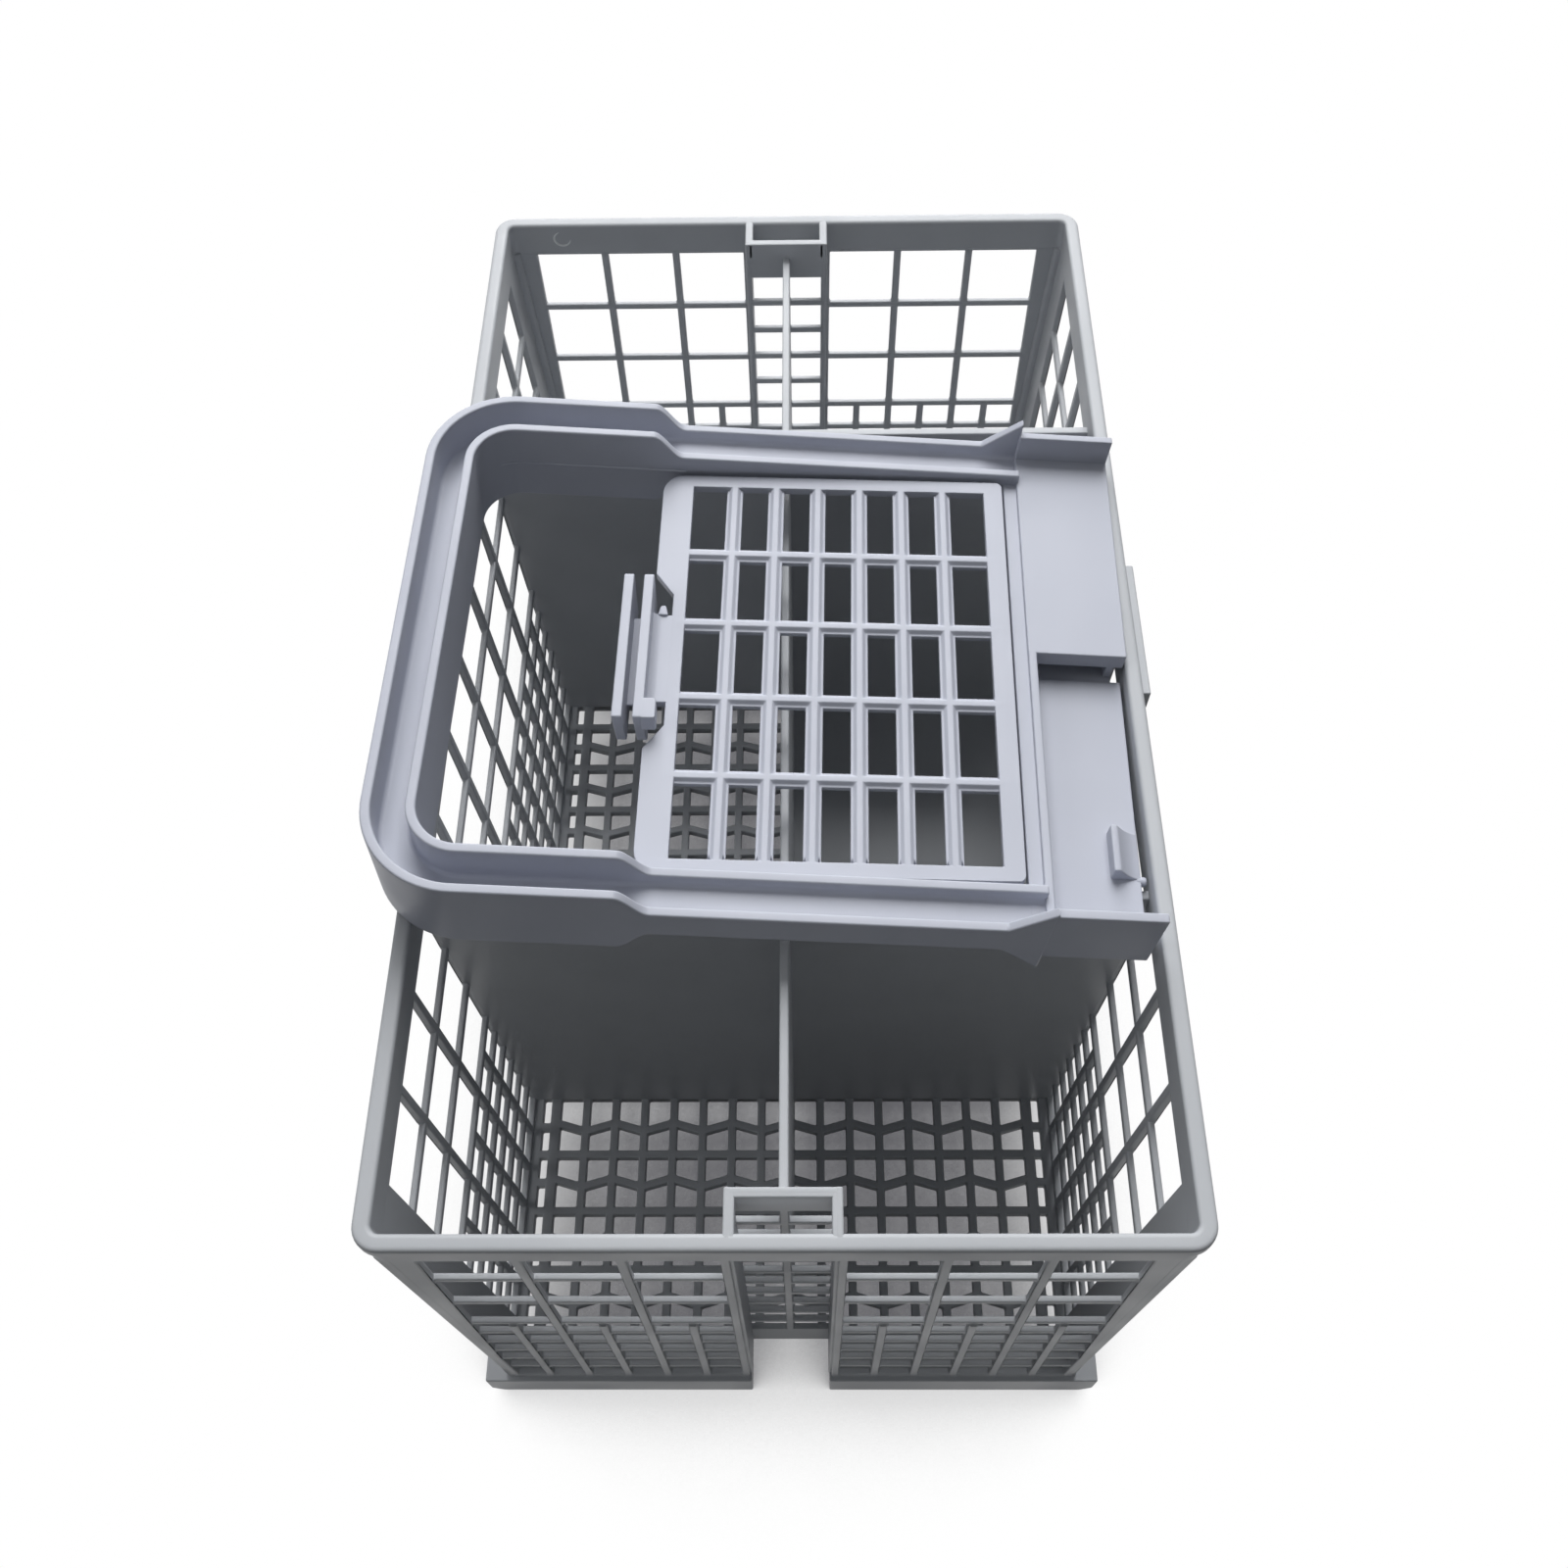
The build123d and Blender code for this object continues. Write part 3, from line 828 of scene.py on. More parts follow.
    def floor(self) -> Skin:
        """Floor lattice: long bars, cross bars of which every second one zigzags, and edge slots.

        Returns:
            The floor; a zigzag line moves by the triangle wave of x, one way at every second bar.
        """
        columns = self.floor_pitch * np.arange(-self.floor_columns, self.floor_columns + 1)
        border = columns[-1]
        side = float(self.half_width(np.array(self.floor_top))) - self.wall + self.floor_overlap
        notch = self.pocket_half - self.pocket_wall / 2
        limits = np.array([self.slot_inner, self.slot_outer, side, notch])
        x = np.sort(np.concatenate((bar_edges(columns, self.floor_bar), limits, -limits)))
        lines, bent = self.floor_lines()
        walls = np.array([-self.cross_wall_y, self.cross_wall_y])
        strip, panel = self.panel_inner - self.panel_lead, self.panel_inner + self.pocket_wall / 2
        ends = np.array([strip, panel, self.length / 2 - self.rim_lip - self.wall / 2])
        bars = bar_edges(lines, self.floor_bar)
        y = np.concatenate((bars, bar_edges(walls, self.cross_wall_thick), ends, -ends))
        moving = np.zeros(len(y), bool)
        moving[: len(bars)] = np.repeat(bent, 2)
        order = np.argsort(y)
        y, moving = y[order], moving[order]
        across, along = np.abs(midway(x)), np.abs(midway(y))
        slot = (across > self.slot_inner) & (across < self.slot_outer)
        upright = within(midway(x), columns, self.floor_bar) | ((across > border) & ~slot)
        level = within(midway(y), np.concatenate((lines, walls)), self.cross_wall_thick) | (along > strip)
        closed = ((midway(x) > 0) & (across < border))[:, None] & (along < self.cross_wall_y)[None, :]
        solid = upright[:, None] | level[None, :] | closed
        solid &= ~((across < notch)[:, None] & (along > panel)[None, :])
        inside = np.abs(x) <= border + self.floor_bar / 2
        bend = self.zigzag * inside[None, :, None] * moving[None, None, :]

        def place(w: np.ndarray, u: np.ndarray, v: np.ndarray) -> np.ndarray:
            """Points of the floor; lines that zigzag follow the wave between the borders."""
            wave = np.abs(np.abs(u / self.floor_pitch) % 2 - 1) * 2 - 1
            return stacked(u, v + bend * wave, w)

        depth = (self.floor_bottom, self.floor_top, self.floor_top)
        return lattice(x, y, depth, solid, np.zeros_like(solid), place)

    def pocket(self) -> Skin:
        """Recess in the far wall: two cheeks, a panel pierced by two columns of slots, and a collar.

        Returns:
            Cheeks, panel and the thicker collar at the top of the rim.
        """
        inner = self.pocket_half - self.pocket_wall
        outer = self.length / 2 - self.rim_lip - self.wall / 2
        top, gap = self.height - HAIR, self.skin_gap
        cheek = block((inner, self.pocket_half), (self.panel_inner, outer), (self.floor_bottom + HAIR, top))
        rows = self.band_bottom - self.panel_drop - self.low_pitch * np.arange(self.panel_bars)[::-1]
        bars = bar_edges(rows, self.panel_bar)[2:]
        z = np.concatenate(([self.floor_bottom + 2 * HAIR], bars, [top - HAIR]))
        rail = np.array([self.pocket_half - self.rail_inset, inner + gap, self.divider_thick / 2])
        x = np.concatenate((-rail, rail[::-1]))
        upright = np.array([True, False, True, False, True])
        level = midway(z)
        across = within(level, rows, self.panel_bar) | (level > rows[-1]) | (level < rows[1])
        solid = upright[:, None] | across[None, :]

        def place(w: np.ndarray, u: np.ndarray, v: np.ndarray) -> np.ndarray:
            """Points of the upright panel."""
            return stacked(u, w, v)

        low = self.panel_inner + gap
        depth = (low, low + self.pocket_wall, low + self.pocket_wall)
        panel = lattice(x, z, depth, solid, np.zeros_like(solid), place)
        height = (self.collar_bottom, top - gap)
        side_x = self.pocket_half - self.collar_wall, self.pocket_half - gap
        side = block(side_x, (low, outer - gap), height)
        front = block((-inner, inner), (low + gap, self.panel_inner + self.collar_wall), height)
        return Skin.joined([cheek, cheek.mirrored(Axis.X), panel, side, side.mirrored(Axis.X), front])

    def feet(self) -> Skin:
        """Two foot strips under the far wall.

        Returns:
            The strips, their outer lower corners cut off.
        """
        inner, outer, top, cut = self.foot_notch, self.foot_half, self.foot_top, self.foot_chamfer
        corners = [(inner, 0.0), (outer - cut, 0.0), (outer, cut), (outer, top), (inner, top)]
        strip = prism(np.array(corners), self.foot_inner, self.length / 2, Axis.Y)
        return Skin.joined([strip, strip.mirrored(Axis.X)])

    def gate_scar(self) -> Skin:
        """Crescent left by the mould's gate, inside the far band.

        Returns:
            A round section carried along an arc, thinning to its ends by the root of a sine.
        """
        s = np.linspace(0.0, 1.0, self.scar_stations)[:, None]
        turn = np.linspace(0.0, 2 * math.pi, self.scar_sides + 1)[None, :-1]
        angle = math.radians(self.scar_start) + math.radians(self.scar_sweep) * s
        rise = self.scar_rise * np.sqrt(np.maximum(np.sin(math.pi * s), self.scar_least))
        reach = self.scar_radius + rise * np.cos(turn)
        y = self.length / 2 - self.rim_width + self.scar_sunk + rise * np.sin(turn)
        return swept(stacked(self.scar_x + reach * np.cos(angle), y, self.scar_z + reach * np.sin(angle)))

    def build(self) -> list[bpy.types.Object]:
        """Make every piece of the tub.

        Returns:
            The pieces.
        """
        mount = Mounting(Body.BASKET, "basket_body")
        side = self.side_wall()
        half_end = self.end_wall()
        post = self.corner_post()
        end = Skin.joined([half_end, half_end.mirrored(Axis.X), post, post.mirrored(Axis.X)])
        recess, strips = self.pocket(), self.feet()
        shapes = {
            "basket_side_walls": [side, side.mirrored(Axis.X)],
            "basket_end_walls": [end, end.mirrored(Axis.Y)],
            "basket_floor": [self.floor()],
            "basket_rim": [self.rim()],
            "basket_inner_walls": [self.inner_walls()],
            "basket_pockets": [recess, recess.mirrored(Axis.Y)],
            "basket_feet": [strips, strips.mirrored(Axis.Y)],
        }
        pieces = [
            mount.fit(name, Skin.joined(skins), self.finish, self.edges) for name, skins in shapes.items()
        ]
        # The gate scar gets the pale finish, a painted highlight for the light caught by its raised ring.
        return [*pieces, mount.fit("basket_gate_scar", self.gate_scar(), self.scar_highlight, self.scar_edges)]


@dataclass(frozen=True)
class Resting:
    """How the handle lies across the basket, from the lid's hinge."""

    hinge: np.ndarray
    axis: np.ndarray
    hinge_x: float = 65.2
    tilt: float = 3.8219

    def matrix(self) -> np.ndarray:
        """Place of the handle's own frame.

        Returns:
            A 4 by 4 matrix whose Y runs along the hinge and whose X dips by the tilt.
        """
        y = self.axis / np.linalg.norm(self.axis)
        level = np.array([y[1], -y[0], 0.0])
        up = np.array([0.0, 0.0, 1.0])
        c, s = math.cos(math.radians(self.tilt)), math.sin(math.radians(self.tilt))
        place = np.eye(4)
        place[:3, 0] = c * level - s * up
        place[:3, 1] = y
        place[:3, 2] = s * level + c * up
        place[:3, 3] = self.hinge - self.hinge_x * place[:3, 0]
        return place


@dataclass(frozen=True)
class Handle:
    """Carrying handle: a loop of I-section, closed by a crossbar and the plug end."""

    finish: PlasticFinish
    place: np.ndarray
    edges: EdgeRound = EdgeRound(0.4, 3)
    seam_edges: EdgeRound = EdgeRound(0.04, 1)
    plug_edges: EdgeRound = EdgeRound(0.3, 2)
    half: float = 55.5
    grip_end: float = -43.6
    grip_station: float = -12.0
    leg_end: float = 74.0
    leg_stations: tuple[float, ...] = (40.0, 20.0)
    corner: float = 17.0
    beam: float = 9.3
    flange: float = 1.8
    seam_half: float = 0.32
    seam_proud: float = 0.22
    seam_root: float = 0.1
    seam_turn: int = 8
    web: float = 2.0
    web_fillet: float = 0.9
    fillet_points: int = 4
    grip_height: float = 9.3
    leg_height: float = 3.75
    step: float = 6.0
    step_lead: float = 0.4
    step_stations: int = 17
    gusset: float = 7.5
    gusset_height: float = 10.5
    crossbar: float = 3.0
    crossbar_half: float = 1.05
    crossbar_inset: float = 1.0
    plug_root: float = 0.4
    plug_end: float = 92.4
    plug_wall: float = 1.6
    plate: float = 1.6
    raised_top: float = 2.0
    sunk_top: float = -4.0
    sunk_inset: float = 0.3
    step_y: float = 3.8
    lip: float = 3.7
    slot: float = 1.6
    shelf: float = 4.5
    shelf_thick: float = 0.6
    shelf_overlap: float = 0.4
    skirt: float = 7.0
    skirt_drop: float = 0.3
    overhang: float = 1.6
    front_inset: float = 0.4
    back_inset: float = 1.4
    far_top: float = 8.1
    near_top: float = 9.8
    lug_width: float = 9.4
    lug_length: float = 5.5
    lug_height: float = 3.2
    lug_crest: float = 1.2
    lug_hollow: float = 1.8
    lug_sink: float = 0.5
    lug_points: int = 7
    lug_from_side: float = 15.0
    peg_radius: float = 0.9
    peg_length: float = 1.0
    peg_root: float = 1.0
    peg_sides: int = 16

    def path(self, inset: np.ndarray, quarter: int = 20) -> np.ndarray:
        """U-shaped plan of the loop drawn in by each inset.

        Straight legs at y = half - inset, arcs about fixed centres with radius corner - inset.

        Args:
            inset: how far in, one value for each corner of the section.
            quarter: steps in each arc.

        Returns:
            Stations by insets by 2, from the far leg's end round the grip to the near leg's end.
        """
        centre = np.array([self.grip_end + self.corner, self.half - self.corner])
        ends = [self.leg_end, self.leg_end - self.gusset, *self.leg_stations]
        step = np.linspace(self.step + self.step_lead, -self.step_lead, self.step_stations)
        legs = np.concatenate((ends, step, [self.grip_station]))
        far = stacked(legs[:, None], (self.half - inset)[None, :])
        angle = np.linspace(math.pi / 2, math.pi, quarter + 1)
        arc = centre + heading(angle)[:, None, :] * (self.corner - inset)[None, :, None]
        half = np.concatenate((far, arc))
        return np.concatenate((half, half[::-1] * np.array([1.0, -1.0])))

    def rise(self, x: np.ndarray, end_height: float) -> np.ndarray:
        """Half height of a flange along the loop.

        Tall at the grip, then down by the smooth step t^2 (3 - 2t), and straight up to the end height.

        Args:
            x: places along the handle.
            end_height: half height at the plug end.

        Returns:
            The half heights.
        """
        t = np.clip(x / self.step, 0.0, 1.0)
        drop = self.grip_height + (self.leg_height - self.grip_height) * t * t * (3 - 2 * t)
        g = np.clip((x - self.leg_end + self.gusset) / self.gusset, 0.0, 1.0)
        return drop + (end_height - self.leg_height) * g

    def loop(self) -> Skin:
        """I-section carried round the loop, its two flanges following their own heights.

        Returns:
            The beam, with small fillets between web and flanges.
        """
        w, f, b, r = self.web / 2, self.flange, self.beam, self.web_fillet
        turn = np.linspace(0.0, math.pi / 2, self.fillet_points)
        rise_out = np.stack((f + r * (1 - np.cos(turn)), w + r * (1 - np.sin(turn))), -1)
        rise_in = np.stack((b - f - r * (1 - np.sin(turn)), w + r * (1 - np.cos(turn))), -1)
        outer_tip = [(0.0, np.inf), (f, np.inf)]
        inner_tip = [(b - f, np.inf), (b, np.inf)]
        upper = np.concatenate((outer_tip, rise_out, rise_in, inner_tip))
        section = np.concatenate((upper, upper[::-1] * np.array([1.0, -1.0])))
        tip = np.isinf(section[:, 1])
        path = self.path(section[:, 0])
        outer = self.rise(path[..., 0], self.gusset_height)
        inner = self.rise(path[..., 0], self.leg_height)
        height = np.where(section[:, 0] <= f, outer, inner) * np.sign(section[:, 1])
        return swept(lifted(path, np.where(tip, height, section[:, 1])))

    def seam(self) -> Skin:
        """Ridge of the mould's parting line, at mid height inside the grip's far and near sides.

        Returns:
            A low trapezium, a third as wide at its crest, from the step into the corner on both sides.
        """
        root, crest, h = self.beam - self.seam_root, self.beam + self.seam_proud, self.seam_half
        section = np.array([(root, -h), (crest, -h / 3), (crest, h / 3), (root, h)])
        # Before the step come the leg's end, the gusset's start and the stations along the leg.
        first = 2 + len(self.leg_stations)
        last = first + self.step_stations + 1 + self.seam_turn
        far = swept(lifted(self.path(section[:, 0])[first:last], section[:, 1]))
        return Skin.joined([far, far.mirrored(Axis.Y)])

    def plates(self) -> list[Skin]:
        """Plug end's plates: raised far plate with lip and skirt, sunk near plate, end walls, crossbar.

        Returns:
            The shapes, each an outline carried straight or a block.
        """
        a, e, t = self.leg_end - self.plug_root, self.plug_end, self.plug_wall
        inside = e - self.overhang
        under = self.sunk_top - self.plate
        top, low, lip = self.raised_top, self.raised_top - self.plate, self.raised_top - self.lip
        hem = top - self.skirt
        back, step, slot = self.half - self.back_inset, self.step_y, self.step_y - self.slot
        raised = [(step, top), (back, top), (back, low), (step + t, low), (step + t, lip), (step, lip)]
        far_wall = [(a, hem), (inside, hem), (inside, low), (e, low), (e, self.far_top), (a, self.far_top)]
        near_wall = [(a, under), (e, under), (e, self.near_top), (a, self.near_top)]
        front, bar = self.half - self.front_inset, self.half - self.crossbar_inset
        shelf_z = under + 2 * HAIR, under + self.shelf_thick
        skirt_z = hem + HAIR, top - self.skirt_drop
        bar_z = -self.crossbar_half, self.crossbar_half
        return [
            prism(np.array(raised), a, e, Axis.X),
            block((inside - t, inside - HAIR), (step + HAIR, back - HAIR), skirt_z),
            block((a, e), (self.sunk_inset - self.half, slot), (under + HAIR, self.sunk_top)),
            block((a, inside), (slot - self.shelf_overlap, step + self.shelf), shelf_z),
            block((a + HAIR, a + HAIR + t), (-front, front), (under + 2 * HAIR, top - HAIR)),
            prism(np.array(far_wall), back - t, back + HAIR, Axis.Y),
            prism(np.array(near_wall), -self.half, self.flange - self.half, Axis.Y),
            block((self.leg_end - self.crossbar, self.leg_end), (-bar, bar), bar_z),
        ]

    def lug_and_peg(self) -> list[Skin]:
        """Hollow-backed lug on the sunk plate, and the round peg at its end.

        Returns:
            The lug, falling from its crest by a power of the distance left, and the peg.
        """
        end, floor = self.plug_end, self.sunk_top
        start, crest = end - self.lug_length, self.lug_crest
        s = np.linspace(0.0, 1.0, self.lug_points)
        fall = floor + self.lug_height * (1 - s) ** self.lug_hollow
        ramp = np.stack((start + crest + (self.lug_length - crest) * s, fall), -1)
        foot = floor - self.lug_sink
        face = [(start, foot), (start, floor + self.lug_height)]
        outline = np.concatenate((face, ramp, [(end - HAIR, foot)]))
        side = self.lug_from_side - self.half
        round_end = disc((side, floor - self.plate / 2), self.peg_radius, self.peg_sides)
        return [
            prism(outline, side, side + self.lug_width, Axis.Y),
            prism(round_end, end - self.peg_root, end + self.peg_length, Axis.X),
        ]

    def build(self) -> list[bpy.types.Object]:
        """Make the handle's pieces.

        Returns:
            The loop, its parting line and the plug end.
        """
        mount = Mounting(Body.BASKET, "handle")
        plug = Skin.joined([*self.plates(), *self.lug_and_peg()]).moved(self.place)
        return [
            mount.fit("handle_loop", self.loop().moved(self.place), self.finish, self.edges),
            mount.fit("handle_seam", self.seam().moved(self.place), self.finish, self.seam_edges),
            mount.fit("handle_plug_end", plug, self.finish, self.plug_edges),
        ]


@dataclass(frozen=True)
class Lid:
    """Grid lid with its clip and pivot stubs."""

    finish: PlasticFinish
    place: np.ndarray
    edges: EdgeRound = EdgeRound(0.18, 2)
    clip_edges: EdgeRound = EdgeRound(0.25, 2)
    free_x: float = 2.3
    hinge_end: float = 70.5
    half: float = 45.4
    top: float = 2.3
    thick: float = 1.8
    corner: float = 4.5
    hinge_corner: float = 1.5
    corner_lines: int = 6
    side_frame: float = 3.0
    hinge_frame: float = 3.8
    free_frame: float = 2.5
    columns: int = 7
    rows: int = 5
    column_crest: float = 1.1
    column_flank: float = 0.6
    row_crest: float = 1.1
    row_flank: float = 0.5
    ledge: float = 0.45
    ledge_thick: float = 1.05
    droop: float = 2.4
    notch_mouth: float = 20.0
    notch_floor: float = 15.0
    notch_depth: float = 3.6
    clip_half: float = 16.5
    clip_y: float = -0.4
    clip_plate: float = 1.9
    clip_slot: float = 1.9
    clip_reach: float = -0.2
    clip_above: float = 7.5
    clip_below: float = 4.0
    clip_near_taper: float = 2.2
    clip_far_taper: float = 1.0
    clip_rounding: tuple[float, ...] = (1.0, 1.0, 1.1, 0.5)
    bridge_half: float = 10.0
    bridge_sink: float = 0.9
    bridge_thin: float = 0.5
    bridge_fillet: tuple[tuple[float, float], ...] = ((1.6, 0.0), (0.4, 0.5), (-0.4, 1.8))
    return_depth: float = 2.2
    return_length: float = 4.4
    return_height: float = 4.2
    return_sink: float = 0.5
    return_inset: float = 0.05
    return_rounding: tuple[float, ...] = (0.0, 0.5, 0.8, 0.0)
    stub_start: float = 0.7
    stub_base: float = 2.0
    stub_taper: float = 0.5
    stub_length: float = 2.2
    stub_root: float = 0.3
    stub_lift: float = 0.1
    stub_proud: float = 0.5
    pin_x: float = 65.2
    pin_radius: float = 1.5
    pin_root: float = 1.0
    pin_end: float = 47.7
    pin_sides: int = 24

    def corner_set_back(self, y: np.ndarray, radius: float) -> np.ndarray:
        """How far a rounded corner draws the edge back: r - sqrt(r^2 - d^2), d from the arc's start."""
        past = np.clip(np.abs(y) - self.half + radius, 0.0, radius)
        return radius - np.sqrt(radius**2 - past**2)

    def free_edge(self, y: np.ndarray) -> np.ndarray:
        """Line of the free edge: rounded corners at the ends and a sloping-sided notch between.

        Args:
            y: places along the edge.

        Returns:
            The edge's x.
        """
        slope = (self.notch_mouth - np.abs(y)) / (self.notch_mouth - self.notch_floor)
        notch = self.notch_depth * np.clip(slope, 0.0, 1.0)
        return self.free_x + notch + self.corner_set_back(y, self.corner)

    def grid(self) -> Skin:
        """Frame and bars; a bar has a narrow crest, flanks that slope out and a ledge at their foot.

        Returns:
            The pierced plate; a crest's edge moves out by its flank times the share of depth below it.
        """
        window_x = self.free_x + self.notch_depth + self.free_frame, self.hinge_end - self.hinge_frame
        window_y = self.side_frame - self.half, self.half - self.side_frame
        x_bars = np.linspace(*window_x, self.columns + 1)[1:-1]
        y_bars = np.linspace(*window_y, self.rows + 1)[1:-1]
        bend = np.array([self.notch_mouth, self.notch_floor])
        turn = 1 - np.sin(np.linspace(0.0, math.pi / 2, self.corner_lines))
        arcs = self.half - np.concatenate((self.corner * turn, self.hinge_corner * turn[:-1]))
        foot_x = self.column_crest + 2 * (self.column_flank + self.ledge)
        foot_y = self.row_crest + 2 * (self.row_flank + self.ledge)
        ends = np.array([*window_x, self.free_x, self.hinge_end])
        x = np.concatenate((bar_edges(x_bars, self.column_crest), bar_edges(x_bars, foot_x), ends))
        ends = np.array([*window_y, *bend, *-bend, *arcs, *-arcs])
        y = np.concatenate((bar_edges(y_bars, self.row_crest), bar_edges(y_bars, foot_y), ends))
        flank_x, flank_y = np.zeros(len(x)), np.zeros(len(y))
        flank_x[: 2 * len(x_bars)] = np.tile([-self.column_flank, self.column_flank], len(x_bars))
        flank_y[: 2 * len(y_bars)] = np.tile([-self.row_flank, self.row_flank], len(y_bars))
        order_x, order_y = np.argsort(x), np.argsort(y)
        x, flank_x = x[order_x], flank_x[order_x]
        y, flank_y = y[order_y], flank_y[order_y]
        frame_x = (midway(x) < window_x[0]) | (midway(x) > window_x[1])
        frame_y = np.abs(midway(y)) > window_y[1]

        def filled(width_x: float, width_y: float) -> np.ndarray:
            """Cells of the frame and of the bars.

            Args:
                width_x: the columns' width.
                width_y: the rows' width.

            Returns:
                The mask, x by y.
            """
            bar_x = within(midway(x), x_bars, width_x) | frame_x
            bar_y = within(midway(y), y_bars, width_y) | frame_y
            return bar_x[:, None] | bar_y[None, :]

        def place(w: np.ndarray, u: np.ndarray, v: np.ndarray) -> np.ndarray:
            """Points of the lid; the first line is the free edge and the last one the hinged edge.

            Args:
                w: depths.
                u: lines across.
                v: lines along the hinge.

            Returns:
                The points.
            """
            share = np.clip((self.top - w) / (self.thick - self.ledge_thick), 0.0, 1.0)
            column = np.arange(u.shape[1])[None, :, None]
            hinged = self.hinge_end - self.corner_set_back(v, self.hinge_corner)
            across = np.where(column == 0, self.free_edge(v), u + flank_x[None, :, None] * share)
            across = np.where(column == u.shape[1] - 1, hinged, across)
            return stacked(across, v + flank_y[None, None, :] * share, w)

        back = self.top - self.thick
        depth = (back, back + self.ledge_thick, self.top)
        solid, raised = filled(foot_x, foot_y), filled(self.column_crest, self.row_crest)
        return lattice(x, y, depth, solid, raised, place)

    def clip(self) -> list[Skin]:
        """Two upright plates with rounded ends, the bridge to the lid, the turned-in end and a stub.

        Returns:
            The shapes, each an outline carried straight.
        """
        inner = self.free_x - self.clip_reach
        outer = inner - self.clip_plate - self.clip_slot
        low, high = -self.clip_below, self.clip_above
        near, far = self.clip_y - self.clip_half, self.clip_y + self.clip_half
        foot = [(near + self.clip_near_taper, low), (far - self.clip_far_taper, low)]
        outline = np.array([*foot, (far, high), (near, high)])
        face = rounded(outline, np.array(self.clip_rounding), steps=5)
        bottom, top = self.top - self.thick + HAIR, self.top - HAIR
        root = self.free_x + self.notch_depth + self.free_frame / 2
        sink, thin = self.bridge_sink, bottom + self.bridge_thin
        fillet = [(inner + dx, top + dz) for dx, dz in self.bridge_fillet]
        bridge = [(outer - sink, bottom), (root, bottom), (root, top), *fillet]
        bridge += [(inner - sink, thin), (outer - sink, thin)]
        tab_y = near + self.return_inset
        tab = np.array([(inner - self.return_sink, tab_y), (inner + self.return_depth, tab_y)])
        tab = np.concatenate((tab, tab[::-1] + np.array([0.0, self.return_length])))
        tab = rounded(tab, np.array(self.return_rounding))
        left, right = inner + self.stub_start, inner + self.stub_start + self.stub_base
        stub_y = self.bridge_half - self.stub_root
        tip_y, taper = stub_y + self.stub_length, self.stub_taper
        stub = [(left, stub_y), (right, stub_y), (right - taper, tip_y), (left + taper, tip_y)]
        return [
            prism(face, inner - self.clip_plate, inner, Axis.X),
            prism(face, outer - self.clip_plate, outer, Axis.X),
            prism(np.array(bridge), -self.bridge_half, self.bridge_half, Axis.Y),
            prism(tab, high - self.return_height, high - HAIR, Axis.Z),
            prism(np.array(stub), bottom + self.stub_lift, top + self.stub_proud, Axis.Z),
        ]

    def drooping(self) -> np.ndarray:
        """Turn about the pins that lets the free edge hang lower.

        Returns:
            A 4 by 4 matrix in the handle's frame.
        """
        c, s = math.cos(math.radians(self.droop)), math.sin(math.radians(self.droop))
        turn = np.array(
            [
                (c, 0.0, -s, 0.0),
                (0.0, 1.0, 0.0, 0.0),
                (s, 0.0, c, 0.0),
                (0.0, 0.0, 0.0, 1.0),
            ]
        )
        pin = np.array([self.pin_x, 0.0, 0.0])
        turn[:3, 3] = pin - turn[:3, :3] @ pin
        return turn

    def pins(self) -> list[Skin]:
        """Round stubs that turn in the handle's flanges.

        Returns:
            The far stub and its reflection.
        """
        section = disc((self.pin_x, 0.0), self.pin_radius, self.pin_sides)
        stub = prism(section, self.half - self.pin_root, self.pin_end, Axis.Y)
        return [stub, stub.mirrored(Axis.Y)]

    def build(self) -> list[bpy.types.Object]:
        """Make the lid's pieces.

        Returns:
            The grid and its clip.
        """
        mount = Mounting(Body.LID, "lid")
        place = self.place @ self.drooping()
        fittings = Skin.joined([*self.clip(), *self.pins()]).moved(place)
        return [
            mount.fit("lid_grid", self.grid().moved(place), self.finish, self.edges),
            mount.fit("lid_clip_and_pins", fittings, self.finish, self.clip_edges),
        ]


@dataclass(frozen=True)
class Lamp:
    """Square soft lamp: its place, its aim and its side in metres, and its power in watts."""

    name: str
    at: tuple[float, float, float]
    size: float
    power: float
    aim: tuple[float, float, float] = (0.0, 0.0, 0.08)

    def hang(self) -> None:
        """Make the lamp and point it at the basket."""
        light = bpy.data.lights.new(self.name, "AREA")
        light.size = self.size
        light.energy = self.power
        lamp = bpy.data.objects.new(self.name, light)
        turn = (Vector(self.aim) - Vector(self.at)).to_track_quat("-Z", "Y")
        lamp.matrix_world = Matrix.Translation(self.at) @ turn.to_matrix().to_4x4()
        bpy.context.scene.collection.objects.link(lamp)


